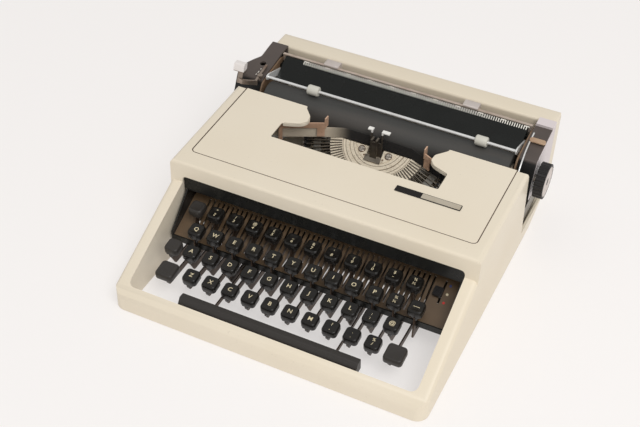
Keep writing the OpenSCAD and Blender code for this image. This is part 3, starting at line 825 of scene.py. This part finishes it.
def strip(path: Sequence[Pair], thick: float, low: float, high: float) -> Mesh:
    """An upright strip along a path of (x, y), from one height to another."""
    way = curve_through([Vector((x, y, 0)) for x, y in path], 4)
    left, right = [], []
    for i, place in enumerate(way):
        ahead = heading(way, i)
        across = Vector((-ahead.y, ahead.x, 0)) * thick / 2
        left.append(place + across)
        right.append(place - across)
    return plate([(p.x, p.y) for p in left + right[::-1]], low, high)


def screw_head(radius: float, height: float) -> Mesh:
    """A domed head with a slot pressed into it."""
    rings = []
    for share, rise in ((1.0, 0.0), (1.0, 0.6), (0.86, 0.9), (0.5, 1.0), (0.12, 1.0)):
        points = ring(circle(radius * share), height * rise)
        for point in points:
            if abs(point.y) < 0.17 * radius * MM and rise > 0.8:
                point.z -= 0.6 * height * MM
        rings.append(points)
    return skin(rings)


def lettering(text: str, height: float) -> Mesh:
    """Flat lettering round the origin, height in mm for a capital's body."""
    curve = bpy.data.curves.new("lettering", "FONT")
    curve.body = text
    curve.size = height * MM
    curve.align_x = "CENTER"
    curve.align_y = "CENTER"
    curve.offset = BOLDNESS * height * MM
    curve.resolution_u = 3
    return evaluated(linked("lettering", curve))


@dataclass(frozen=True)
class Plane:
    """A face that rises to the back: a line of it (distance, height) and its slope in degrees."""

    distance: float
    height: float
    slope: float

    def at(self, x: float = 0.0, along: float = 0.0, lift: float = 0.0) -> Matrix:
        """The matrix to a place on the face, along its slope from that line, and lifted."""
        turn = Matrix.Rotation(math.radians(self.slope), 4, "X")
        step = Matrix.Translation(Vector((x, along, lift)) * MM)
        return Matrix.Translation(spot(0, self.distance, self.height)) @ turn @ step


# Geometry node trees


class Pattern(Tree):
    """A geometry node tree with named inputs that repeats one item."""

    def __init__(self, name: str, inputs: dict[str, str]) -> None:
        """Starts a tree.

        Args:
            name: the tree's name.
            inputs: each input's name and kind, besides the item and its finish.
        """
        super().__init__(bpy.data.node_groups.new(name, "GeometryNodeTree"))
        face = self.tree.interface
        kinds = {"Geometry": "Geometry", "Item": "Object", **inputs, "Finish": "Material"}
        for label, kind in kinds.items():
            face.new_socket(label, in_out="INPUT", socket_type=f"NodeSocket{kind}")
        face.new_socket("Geometry", in_out="OUTPUT", socket_type="NodeSocketGeometry")
        self.start = self.tree.nodes.new("NodeGroupInput")

    def given(self, name: str) -> Signal:
        """One of the tree's own inputs."""
        return Signal(self, self.start.outputs[name])

    def line(self, **inputs: object) -> Signal:
        """A line of points, as many as the tree's Count says."""
        sockets = {key.replace("_", " "): value for key, value in inputs.items()}
        sockets["Count"] = self.given("Count")
        return self.node("GeometryNodeMeshLine", {"mode": "OFFSET"}, sockets)

    def repeat(self, points: Signal, turn: Signal | None = None) -> Signal:
        """The item on every point, turned."""
        item = self.node("GeometryNodeObjectInfo", None, {"Object": self.given("Item")}, "Geometry")
        inputs = {"Points": points, "Instance": item, **({"Rotation": turn} if turn else {})}
        return self.node("GeometryNodeInstanceOnPoints", None, inputs)

    def close(self, shape: Signal) -> "Pattern":
        """Ends the tree with Realize Instances and Set Material."""
        real = self.node("GeometryNodeRealizeInstances", None, {"Geometry": shape})
        inputs = {"Geometry": real, "Material": self.given("Finish")}
        painted = self.node("GeometryNodeSetMaterial", None, inputs)
        self.feed(self.tree.nodes.new("NodeGroupOutput").inputs[0], painted)
        return self

    def run(self, finish: Finish, item: Mesh, **values: object) -> Mesh:
        """Runs the tree once.

        Args:
            finish: set on the result.
            item: what is repeated, near the origin.
            values: the tree's other inputs.

        Returns:
            The plain mesh.
        """
        thing = bpy.data.objects.new("item", item)
        holder = linked("holder", bpy.data.meshes.new("empty"))
        changer = holder.modifiers.new("pattern", "NODES")
        changer.node_group = self.tree
        wanted = {**values, "Item": thing, "Finish": finish.material()}
        for entry in self.tree.interface.items_tree:
            if entry.in_out == "INPUT" and entry.name in wanted:
                changer[entry.identifier] = wanted[entry.name]
        result = evaluated(holder)
        bpy.data.objects.remove(thing)
        return result


def row_pattern() -> Pattern:
    """A straight row: Count items, Step apart, from Start."""
    row = Pattern("row", {"Count": "Int", "Start": "Vector", "Step": "Vector"})
    points = row.line(Start_Location=row.given("Start"), Offset=row.given("Step"))
    return row.close(row.repeat(points))


def fan_pattern() -> Pattern:
    """A fan about Z from -Half to Half, each item lifted a little at random, then placed."""
    kinds = {"Count": "Int", "Half": "Float", "Lift": "Float"}
    fan = Pattern("fan", {**kinds, "Place": "Vector", "Turn": "Rotation"})
    share = fan.node("GeometryNodeInputIndex") / (fan.given("Count") - 1.0)
    reach = {"Value": share, "To Min": fan.given("Half") * -1.0, "To Max": fan.given("Half")}
    angle = fan.node("ShaderNodeMapRange", {"clamp": False}, reach)
    turn = fan.node("ShaderNodeCombineXYZ", None, {"Z": angle})
    limits = {"Max": fan.given("Lift"), "Seed": 7}
    chance = fan.node("FunctionNodeRandomValue", {"data_type": "FLOAT"}, limits, "Value")
    lift = fan.node("ShaderNodeCombineXYZ", None, {"Z": chance})
    inputs = {"Geometry": fan.line(Offset=(0, 0, 0)), "Offset": lift}
    points = fan.node("GeometryNodeSetPosition", None, inputs)
    items = fan.repeat(points, fan.node("FunctionNodeEulerToRotation", None, {"Euler": turn}))
    inputs = {"Geometry": items, "Translation": fan.given("Place"), "Rotation": fan.given("Turn")}
    return fan.close(fan.node("GeometryNodeTransform", None, inputs))


ROW = row_pattern()
FAN = fan_pattern()


# The machine


@dataclass
class Housing:
    """The moulded body with its feet, the trim over the keyboard and the lift-off cover."""

    deck: Plane = Plane(104.0, 91.5, 1.6)
    edge: float = 0.5
    lip: tuple[Pair, ...] = (
        (80.6, 92.2), (67.2, 97.4), (62.0, 102.6), (61.9, 109.6), (66.4, 116.4)
    )
    lip_band: Pair = (-4.4, -1.4)
    seam_back: float = 124.0
    seam_rims: tuple[Point, ...] = ((134.95, 17.3, 4.8), (134.1, 18.05, 4.0))
    plate_at: Pair = (78.0, 53.5)
    plate_size: Pair = (60.4, 7.4)
    plate_margin: float = 0.7
    plate_split: float = -6.3784

    def build_body(self) -> None:
        """The one-piece shell, the parts inside it and the glossy trim over the keys."""
        refined("body_shell", CREAM)
        refined("feet", FOOT, 0.25)
        refined("chassis", FRAME_STEEL)
        refined("pivot_rod", FRAME_STEEL)
        refined("well_trim", TRIM, 0.3)

    def build_cover(self) -> None:
        """The cover with softly rounded edges, and turned-down lips under its two ears."""
        refined("ribbon_cover", CREAM_COVER, self.edge)
        paths = ([(side * x, y) for x, y in self.lip] for side in (-1, 1))
        lip = rounded(joined(strip(path, 1.0, *self.lip_band) for path in paths), 0.2)
        show("ribbon_cover", "lips", placed(lip, self.deck.at()), CREAM_COVER)

    def build_seam(self) -> None:
        """A dark band in the seam of the shell round the cover: painted shade and dirt."""
        rims = []
        for half, front, corner in self.seam_rims:
            ends = [(half, self.seam_back), (half, front), (-half, front), (-half, self.seam_back)]
            rims.append(soften(ends, [0, corner, corner, 0]))
        # The band is painted shade and dirt, sunk a little into the seam.
        band = plate(rims[0] + rims[1][::-1], -0.4, 0.03)
        show("body_shell", "seam", placed(band, self.deck.at()), SEAM)

    def build_plate(self) -> None:
        """The bare two-tone badge: a pale plate with a dark left end and a dark border."""
        width, depth = self.plate_size
        seat = self.deck.at(*self.plate_at)
        base = rounded(plate(rounded_box(width, depth, 0.9), 0.02, 0.62), 0.12)
        stand_in("name_plate", "rim", placed(base, seat), HOLE)
        end, split = width / 2 - self.plate_margin, self.plate_split
        for label, x0, x1, finish in (
            ("dark_end", -end, split, BADGE), ("pale_end", split + 0.5, end, SILVER),
        ):
            face = rounded_box(x1 - x0, depth - 2 * self.plate_margin, 0.6)
            panel = plate([(x + (x0 + x1) / 2, y) for x, y in face], 0.5, 0.78)
            show("name_plate", label, placed(panel, seat), finish)

    def build(self) -> None:
        """Everything that the class holds."""
        self.build_body()
        self.build_cover()
        self.build_seam()
        self.build_plate()


class Row(Enum):
    """The rows of keys: number from the back, X of the first cap, and its slot."""

    NUMBERS = (0, -114.7, 0)
    TOP = (1, -104.7, 2)
    MIDDLE = (2, -98.8, 3)
    BOTTOM = (3, -88.1, 5)


@dataclass(frozen=True)
class Key:
    """One key: where its cap's top centre is, its slot, and what is written on it."""

    x: float
    v: float
    z: float
    slot: int
    width: float
    legend: tuple[str, ...] = ()
    slant: float = 0.0


@dataclass
class Keyboard:
    """All keys with dished caps, clips, levers and legends."""

    pitch: float = 19.0
    first_v: float = 96.1
    first_z: float = 54.8
    step: float = 19.35
    drop: float = 7.85
    slot_zero: float = -113.45
    slot_pitch: float = 4.75
    cap: float = 13.5
    shift_cap: float = 17.0
    height: float = 7.0
    lean: float = 8.0
    dish: float = 0.75
    rim: float = 1.25
    clip_back: float = 3.5
    lever: float = 1.2
    lever_band: Pair = (13.5, 19.5)
    stem_back: float = 3.1
    stem_half: float = 2.6
    stem_under: float = 1.5
    heel: float = 204.0
    pivot: Pair = (215.0, 16.5)
    eye: float = 3.6
    slant: float = 0.55
    bar_ends: Pair = (-85.0, 81.0)
    arm_step: float = 2.05
    caps: dict[float, Mesh] = field(default_factory=dict)

    def slot_x(self, slot: int) -> float:
        """X of a slot of the comb."""
        return self.slot_zero + self.slot_pitch * slot

    def row_key(self, row: Row, place: int, *legend: str) -> Key:
        """A key of a row, counted from the left, with what is written on it."""
        number, x, slot = row.value
        return Key(
            x + self.pitch * place, self.first_v - number * self.step,
            self.first_z - number * self.drop, slot + 4 * place, self.cap, legend,
            self.slant if number > 1 else 0.0,
        )

    def depth(self, x: float, y: float, width: float) -> float:
        """Height of the dished top over its rim, never above 0."""
        half = width / 2 - self.rim
        share = min(1.0, ((abs(x) / half) ** 3 + (abs(y) / half) ** 3) ** (1 / 3))
        return -self.dish * (1 - share * share)

    def cap_form(self, width: float) -> Mesh:
        """A cap with straight sides, a soft rim and a dished top, its top centre at zero."""
        if width not in self.caps:
            low = -self.height
            rings = [
                ring(rounded_box(width - less, width - less, radius), z)
                for less, radius, z in (
                    (1.0, 2.6, low), (0.3, 2.9, low + 0.15), (0, 3.0, low + 0.5), (0, 3.0, -2.4),
                    (0.25, 3.0, -1.5), (0.9, 2.8, -0.7), (1.7, 2.6, -0.2), (2.2, 2.5, -0.02),
                )
            ]
            rim = rounded_box(width - 2 * self.rim, width - 2 * self.rim, 2.4)
            for share in (1.0, 0.86, 0.7, 0.52, 0.34, 0.16):
                dish = [(x * share, y * share) for x, y in rim]
                rings.append([Vector((x, y, self.depth(x, y, width))) * MM for x, y in dish])
            self.caps[width] = skin(rings, SOFT_CREASE)
        return self.caps[width].copy()

    def seat(self, key: Key) -> Matrix:
        """Where a cap's top centre goes, with its lean."""
        return Plane(key.v, key.z, self.lean).at(key.x)

    def clip_form(self, key: Key) -> Mesh:
        """The stepped clip under a cap that grips the lever, shorter over the comb."""
        low = -self.height
        foot = low - (3.4 if key.v > self.first_v - 1 else 5.6)
        shift = self.slot_x(key.slot) - key.x
        return skin([
            ring(((x + shift, y - self.clip_back) for x, y in rounded_box(width, depth, 1.2, 3)), z)
            for width, depth, z in (
                (3.2, 3.8, foot), (3.5, 4.2, foot + 0.3), (3.6, 4.6, low - 2.2),
                (4.8, 4.9, low - 2.0), (5.0, 5.0, low - 1.2), (7.4, 6.0, low - 1.1),
                (7.6, 6.2, low + 0.1),
            )
        ])

    def lever_form(self, key: Key) -> Mesh:
        """The stamped lever from its eye on the rod to the stem under the cap."""
        (low, high), (pv, pz), eye = self.lever_band, self.pivot, self.eye
        v, half, top = key.v - self.stem_back, self.stem_half, key.z - self.height - self.stem_under
        back = key.slant * (top - low)
        bend = min(3.0, 0.3 * (top - high))
        outline = [
            (v - half + back, low), (self.heel, low), (pv, pz - eye), (pv + 3.4, pz - 2),
            (pv + 3.4, pz + 2), (pv, pz + eye), (self.heel, high), (v + half + 1.2 * back, high),
            (v + half, top), (v - half, top),
        ]
        x = self.slot_x(key.slot)
        side = soften(outline, [3.0, 6, 1.5, 1.2, 1.2, 1.5, 6, bend, 0.6, 0.6], 4)
        return prism(side, x - self.lever / 2, x + self.lever / 2)

    def legend_form(self, key: Key) -> list[Mesh]:
        """The key's lettering, one or two marks, laid into its dish."""
        meshes = []
        marks = {1: ((0.0, 0.0, 5.6),), 2: ((0.0, 2.15, 3.9), (0.0, -2.3, 4.5))}
        for text, (dx, dy, size) in zip(key.legend, marks.get(len(key.legend), ())):
            mesh = lettering(text, size)
            for vert in mesh.vertices:
                x, y = vert.co.x / MM + dx, vert.co.y / MM + dy
                vert.co = Vector((x, y, self.depth(x, y, key.width) + 0.05)) * MM
            meshes.append(placed(mesh, self.seat(key)))
        return meshes

    def build_keys(self, node: str, *keys: Key) -> None:
        """Caps, levers and legends of the keys that a CAD node holds."""
        caps, levers, legends = [], [], []
        for key in keys:
            for form in (self.cap_form(key.width), self.clip_form(key)):
                caps.append(placed(form, self.seat(key)))
            levers.append(self.lever_form(key))
            legends.extend(self.legend_form(key))
        stand_in(node, "caps", joined(caps), KEYTOP if legends else PLAIN_TOP)
        stand_in(node, "levers", joined(levers), LEVER)
        if legends:
            show(node, "legends", joined(legends), LEGEND)

    def build_rows(self) -> None:
        """The four rows with their legends."""
        numbers = [*zip("\"/@£_&'()", "234567890"), "$-", "¾½"]
        self.build_keys("margin_release", self.row_key(Row.NUMBERS, 0))
        keys = (self.row_key(Row.NUMBERS, i, *marks) for i, marks in enumerate(numbers, 1))
        self.build_keys("number_keys", *keys)
        top = [*"QWERTYUIOP", "¾¼"]
        keys = (self.row_key(Row.TOP, i, *marks) for i, marks in enumerate(top))
        self.build_keys("top_letter_keys", *keys)
        self.build_keys("backspace", self.row_key(Row.TOP, len(top), "—"))
        for row, letter, legends in (
            (Row.MIDDLE, "a", [*"ASDFGHJKL", ":;", "@"]),
            (Row.BOTTOM, "z", [*"ZXCVBNM", "?,", "..", "%/"]),
        ):
            for i, marks in enumerate(legends, 1):
                self.build_keys(f"key_{letter}{i}", self.row_key(row, i - 1, *marks))

    def build_shifts(self) -> None:
        """Both shift keys with their bail, and the shift lock."""
        last, middle = (self.row_key(row, 0) for row in (Row.BOTTOM, Row.MIDDLE))
        self.build_keys("shift_bail", *(
            Key(x, last.v - 2, last.z - 1, slot, self.shift_cap, slant=self.slant)
            for x, slot in ((-111, 1), (103.5, 45))
        ))
        place = spot(0, self.pivot[0] + 7.2, self.pivot[1])
        bar = lathe(((self.slot_x(1), 2.2), (self.slot_x(45), 2.2)), place)
        show("shift_bail", "bar", bar, LEVER)
        lock = Key(-116.9, middle.v, middle.z, -1, self.cap, slant=self.slant)
        self.build_keys("shift_lock", lock)

    def build_space(self) -> None:
        """The space bar with a rolled front, and its two arms."""
        front = [(9.6, 15.5), (9.2, 22.5), (12.6, 28.3), (19, 28), (20.2, 15.5)]
        bar = prism(soften(front, [1, 3, 1.6, 1.6, 1], 6), *self.bar_ends)
        stand_in("space_bar", "bar", rounded(bar, 0.7, 3), PLAIN_TOP)
        (low, high), (pv, pz), eye = self.lever_band, self.pivot, self.eye
        outline = [(19, low), (self.heel, low), (pv, pz - eye), (pv, pz + eye), (self.heel, high),
                   (74, high), (70, high - 2), (19, high - 2)]
        side = soften(outline, [1, 8, 3, 3, 8, 3, 3, 1], 4)
        arms = []
        for x in (self.slot_x(slot) - self.arm_step for slot in (12, 36)):
            arms.append(prism(side, x - self.lever / 2, x + self.lever / 2))
        stand_in("space_bar", "arms", joined(arms), LEVER)

    def build(self) -> None:
        """Everything that the class holds."""
        self.build_rows()
        self.build_shifts()
        self.build_space()


@dataclass
class Comb:
    """The slotted brown comb and the ribbon selector that slides on it."""

    face: Plane = Plane(79.4, 28.3, 25.2)
    knob_at: Pair = (112.6, 29.5)
    tongue: Pair = (27.0, 32.0)
    dot_x: float = 120.2
    dots: tuple[tuple[float, Finish], ...] = ((38.5, MARK_BLUE), (30.3, LEGEND), (22.2, MARK_RED))

    def build_selector(self) -> None:
        """A small ridged knob on a tongue."""
        base = rounded(plate(rounded_box(8, 9, 1.5), 0.4, 3.7), 0.35)
        ridge = rounded(plate(rounded_box(7.2, 0.62, 0.3, 3), 3.5, 4.75), 0.12)
        start, step = (0.0, -3.6 * MM, 0.0), (0.0, 1.2 * MM, 0.0)
        knob = joined([base, ROW.run(KNOB, ridge, Count=7, Start=start, Step=step)])
        stand_in("ribbon_selector", "knob", placed(knob, self.face.at(*self.knob_at)), KNOB)
        tongue = joined([
            slab((115.1, 116.1), self.tongue, (-4, 2)), slab((113, 116.1), self.tongue, (0.5, 2)),
        ])
        stand_in("ribbon_selector", "tongue", placed(tongue, self.face.at()), DARK_METAL)

    def build_dots(self) -> None:
        """The three paint dots beside the knob's slot."""
        for number, (along, finish) in enumerate(self.dots, 1):
            dot = placed(disc(1.15, 0.01, 0.12), self.face.at(self.dot_x, along))
            show("key_comb", f"dot_{number}", dot, finish)

    def build(self) -> None:
        """Everything that the class holds."""
        refined("key_comb", BROWN)
        self.build_selector()
        self.build_dots()


@dataclass
class Basket:
    """The slotted segment with its fan of type bars, and what carries them."""

    face: Plane = Plane(236.3, 72.8, 35.0)
    bars: int = 44
    half: float = 75.0
    inner: float = 35.5
    outer: float = 73.0
    head_lift: float = 0.12
    screws: Pair = (17.5, 50.0)
    dots: Pair = (18.6, 30.0)

    def fan(self, label: str, finish: Finish, lift: float, *boxes: tuple[Pair, Pair, Pair]) -> None:
        """A piece with the same boxes on every type bar.

        Args:
            label: what the piece is called after its node's name.
            finish: its surface.
            lift: greatest random lift of a bar's boxes.
            boxes: each box's limits in X, from the bar's outer end, and over the face.
        """
        end = self.outer
        item = joined(slab(xs, (start - end, stop - end), zs) for xs, (start, stop), zs in boxes)
        fan = FAN.run(
            finish, item, Count=self.bars, Half=math.radians(self.half), Lift=lift * MM,
            Place=tuple(self.face.at().translation), Turn=(math.radians(self.face.slope), 0.0, 0.0),
        )
        stand_in("type_bars", label, fan, finish)

    def build_bars(self) -> None:
        """Each bar thins towards its head, and the head carries two cast characters."""
        root = self.outer - self.inner - 0.5
        self.fan(
            "blades", TYPE_STEEL, 0.0, ((-0.4, 0.4), (1.2, root), (-4.4, -0.95)),
            ((-0.55, 0.55), (3.2, 9), (-4.4, -1.4)),
        )
        self.fan(
            "heads", DARK_METAL, self.head_lift, ((-1.1, 1.1), (0.9, 3.3), (-4.85, 2.4)),
            ((-1.45, 1.45), (0.5, 3.3), (-4.7, -1.9)),
        )
        self.fan(
            "faces", PLATED, self.head_lift, ((-1.35, 1.35), (0.05, 1.3), (0.4, 2.3)),
            ((-1.35, 1.35), (0.05, 1.3), (-2.0, -0.1)),
        )

    def sides(self, polar: Pair) -> list[Matrix]:
        """A place to the left and one to the right of the middle, from a radius and an angle."""
        radius, angle = polar
        turns = (math.radians(-angle), math.radians(angle))
        return [self.face.at(radius * math.sin(t), -radius * math.cos(t)) for t in turns]

    def build_segment(self) -> None:
        """The machined half disc, with two ringed screws and two stamped dots."""
        refined("segment", SEGMENT)
        heads = joined(placed(screw_head(3.0, 0.9), seat) for seat in self.sides(self.screws))
        show("segment", "screws", heads, PLATED)
        marks = [placed(disc(3.6, 0.02, 0.14), seat) for seat in self.sides(self.screws)]
        marks += [placed(disc(0.9, 0.02, 0.14), seat) for seat in self.sides(self.dots)]
        show("segment", "rings", joined(marks), BROWN_FRAME)

    def build(self) -> None:
        """Everything that the class holds."""
        self.build_segment()
        self.build_bars()
        refined("basket_frame", FRAME_STEEL)
        refined("type_guide", TYPE_STEEL, 0.12)


@dataclass
class RibbonPath:
    """The spools, the ribbon, its copper guides and the vibrator that lifts it."""

    guide_edge: float = 0.1
    vibrator_edge: float = 0.12

    def build(self) -> None:
        """Everything that the class holds."""
        refined("ribbon", INK)
        refined("ribbon_guides", COPPER, self.guide_edge)
        refined("ribbon_vibrator", HOOKS, self.vibrator_edge)
        refined("spool_decks", FRAME_STEEL)
        refined("spool_left", DARK_METAL)
        refined("spool_right", DARK_METAL)


@dataclass
class Carriage:
    """The rail and what slides on it: platen, paper table, bail, stops, caps and levers."""

    platen_at: Pair = (251.0, 74.0)
    platen_r: float = 16.0
    platen_half: float = 123.5
    core_end: float = 125.1
    bail_at: Pair = (252.0, 96.0)
    rollers: tuple[Pair, ...] = ((-82.0, -70.5), (86.5, 98.0))
    table: Plane = Plane(266.8, 84.2, 34.22276)
    scale_along: float = 24.835
    tick_step: float = 2.24
    tick_from: float = -103.5
    tick_count: int = 102
    left_cap: Plane = Plane(255.0, 94.03, 8.7462)
    chips: tuple[Point, ...] = (
        (-138.6, -1.4165, 2.0), (-138.1, 2.4282, 2.8), (-137.8, 7.0824, 1.6)
    )
    wire: tuple[Point, ...] = (
        (131.8, 281.8, 99.1), (131.9, 270, 97.5), (132.6, 256, 96.2), (133.4, 244, 92.5),
        (133.8, 236, 87),
    )

    def build_platen(self) -> None:
        """The rubber roll, its metal ends and shaft, and the ribbed knob."""
        centre = spot(0, *self.platen_at)
        r, half, end = self.platen_r, self.platen_half, self.core_end
        profile = ((-half, r - 4), (-half, r - 0.5), (-half + 0.5, r), (half - 0.5, r),
                   (half, r - 0.5), (half, r - 4))
        stand_in("platen", "roll", lathe(profile, centre, count=96), PLATEN)
        core = lathe(((-end, 6.6), (-end, 7), (end, 7), (end, 6.6)), centre)
        shaft = lathe(((-147, 2.4), (-146.6, 3), (150.6, 3), (151, 2.4)), centre)
        stand_in("platen", "shaft", joined([core, shaft]), PLATED)
        refined("platen_knob", KNOB, 0.2)
        low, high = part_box("platen_knob")
        rim = (high[2] - low[2]) / MM / 2
        profile = ((157.2, rim - 1.6), (157.8, rim - 0.5), (157.98, rim - 1.0), (157.98, 4),
                   (157.7, 3))
        show("platen_knob", "face", lathe(profile, centre), PALE_METAL)

    def build_bail(self) -> None:
        """The chrome bail and its two grey rollers."""
        refined("paper_bail", CHROME, 0.15)
        wheels = []
        for x0, x1 in self.rollers:
            half = ((0, 2.2), (0, 3.9), (0.7, 4.7), (1.1, 4.8))
            profile = [(x0 + x, r) for x, r in half] + [(x1 - x, r) for x, r in half[::-1]]
            wheels.append(lathe(profile, spot(0, *self.bail_at)))
        stand_in("bail_rollers", "wheels", joined(wheels), ROLLER)

    def build_table(self) -> None:
        """The glossy table with its scale: ticks, three of every ten joined on top."""
        refined("paper_table", TABLE, 0.2)
        step, start = self.tick_step, self.tick_from
        rows = []
        for xs, ys, high, first, every in (
            ((-0.45, 0.45), (-2.0, 1.85), 0.05, start, 1),
            ((-2.69, 2.69), (1.0, 1.85), 0.06, start + step, 10),
        ):
            rows.append(ROW.run(
                MARK_WHITE, slab(xs, ys, (0.0, high)), Count=(self.tick_count + every - 1) // every,
                Start=(first * MM, 0.0, 0.0), Step=(every * step * MM, 0.0, 0.0),
            ))
        seat = self.table.at(0, self.scale_along, 0.03)
        show("paper_table", "scale", placed(joined(rows), seat), MARK_WHITE)

    def build_levers(self) -> None:
        """The line-return lever, the release tab, and a wire and paint chips on the caps."""
        refined("return_lever", SPOON, 0.2)
        refined("release_lever", BRASS, 0.2)
        show("end_caps", "wire", tube([spot(*place) for place in self.wire], 0.75), CHROME)
        chips = joined(
            placed(plate(rounded_box(0.7, long, 0.3, 3), 0.0, 0.06), self.left_cap.at(x, along))
            for x, along, long in self.chips
        )
        show("end_caps", "chips", chips, MARK_WHITE)

    def build(self) -> None:
        """Everything that the class holds."""
        refined("carriage_rail", FRAME_STEEL)
        refined("carriage_frame", BROWN_FRAME)
        refined("end_caps", CAP, 0.4)
        self.build_platen()
        self.build_bail()
        self.build_table()
        refined("margin_rail", RAIL)
        refined("margin_stop_left", PALE_METAL, 0.3)
        refined("margin_stop_right", PALE_METAL, 0.3)
        self.build_levers()


@dataclass
class Studio:
    """The table, the light and the camera of the photograph."""

    eye: Point = (0.31199, -0.75956, 0.73998)
    right: Point = (0.90184288, 0.43092222, 0.03139211)
    up: Point = (-0.30208142, 0.57691815, 0.75888884)
    back: Point = (0.30891138, -0.69388146, 0.65046312)
    lens: float = 66.87
    sensor: float = 36.0
    white: Colour = (0.42, 0.408, 0.398)
    glow: Colour = (1.0, 0.968, 0.953)
    glow_strength: float = 0.52
    floor_half: float = 6.0
    lamp_place: Point = (1.0, -1.0, 2.0)
    lamp_target: Point = (0.0, 0.0, 0.05)
    lamp_size: float = 1.4
    lamp_watts: float = 31.0
    room: Colour = (1.0, 0.99, 0.98)
    room_strength: float = 0.56

    def build_camera(self) -> None:
        """A camera with the fitted place, turn and lens."""
        data = bpy.data.cameras.new("camera")
        data.sensor_fit = "HORIZONTAL"
        data.sensor_width = self.sensor
        data.lens = self.lens
        data.clip_start = 0.01
        data.clip_end = 50
        camera = linked("camera", data)
        axes = Matrix((self.right, self.up, self.back)).transposed()
        camera.matrix_world = Matrix.Translation(self.eye) @ axes.to_4x4()
        bpy.context.scene.camera = camera

    def build_floor(self) -> None:
        """A wide pale table that glows a little, so that it shows white and keeps shadows."""
        shader = Shader("table_top")
        grain = shader.noise(40.0) * 0.3
        shader.finish(
            Base_Color=shader.blend(grain, self.white, shaded(self.white, 0.97)),
            Roughness=0.6,
            Emission_Color=self.glow,
            Emission_Strength=self.glow_strength,
        )
        mesh = bpy.data.meshes.new("table_top")
        corners = [(x * self.floor_half, y * self.floor_half, 0)
                   for x, y in ((-1, -1), (1, -1), (1, 1), (-1, 1))]
        mesh.from_pydata(corners, [], [(0, 1, 2, 3)])
        mesh.materials.append(shader.material)
        linked("table_top", mesh)

    def build_light(self) -> None:
        """A broad soft lamp from the upper right and a pale room."""
        data = bpy.data.lights.new("key", "AREA")
        data.size = self.lamp_size
        data.energy = self.lamp_watts
        beam = Vector(self.lamp_target) - Vector(self.lamp_place)
        turn = beam.to_track_quat("-Z", "Y").to_matrix().to_4x4()
        linked("key", data).matrix_world = Matrix.Translation(self.lamp_place) @ turn
        world = bpy.data.worlds.new("room")
        world.use_nodes = True
        ground = world.node_tree.nodes["Background"]
        ground.inputs["Color"].default_value = (*self.room, 1.0)
        ground.inputs["Strength"].default_value = self.room_strength
        bpy.context.scene.world = world
        bpy.context.scene.view_settings.view_transform = "Standard"

    def build(self) -> None:
        """Everything that the class holds."""
        self.build_camera()
        self.build_floor()
        self.build_light()


def main() -> None:
    """Builds every part of the machine and its studio."""
    logging.basicConfig(level=logging.INFO, format="%(message)s")
    for assembly in (Studio(), Housing(), Keyboard(), Comb(), Basket(), RibbonPath(), Carriage()):
        LOG.info("building %s", type(assembly).__name__)
        assembly.build()


if __name__ == "__main__":
    main()
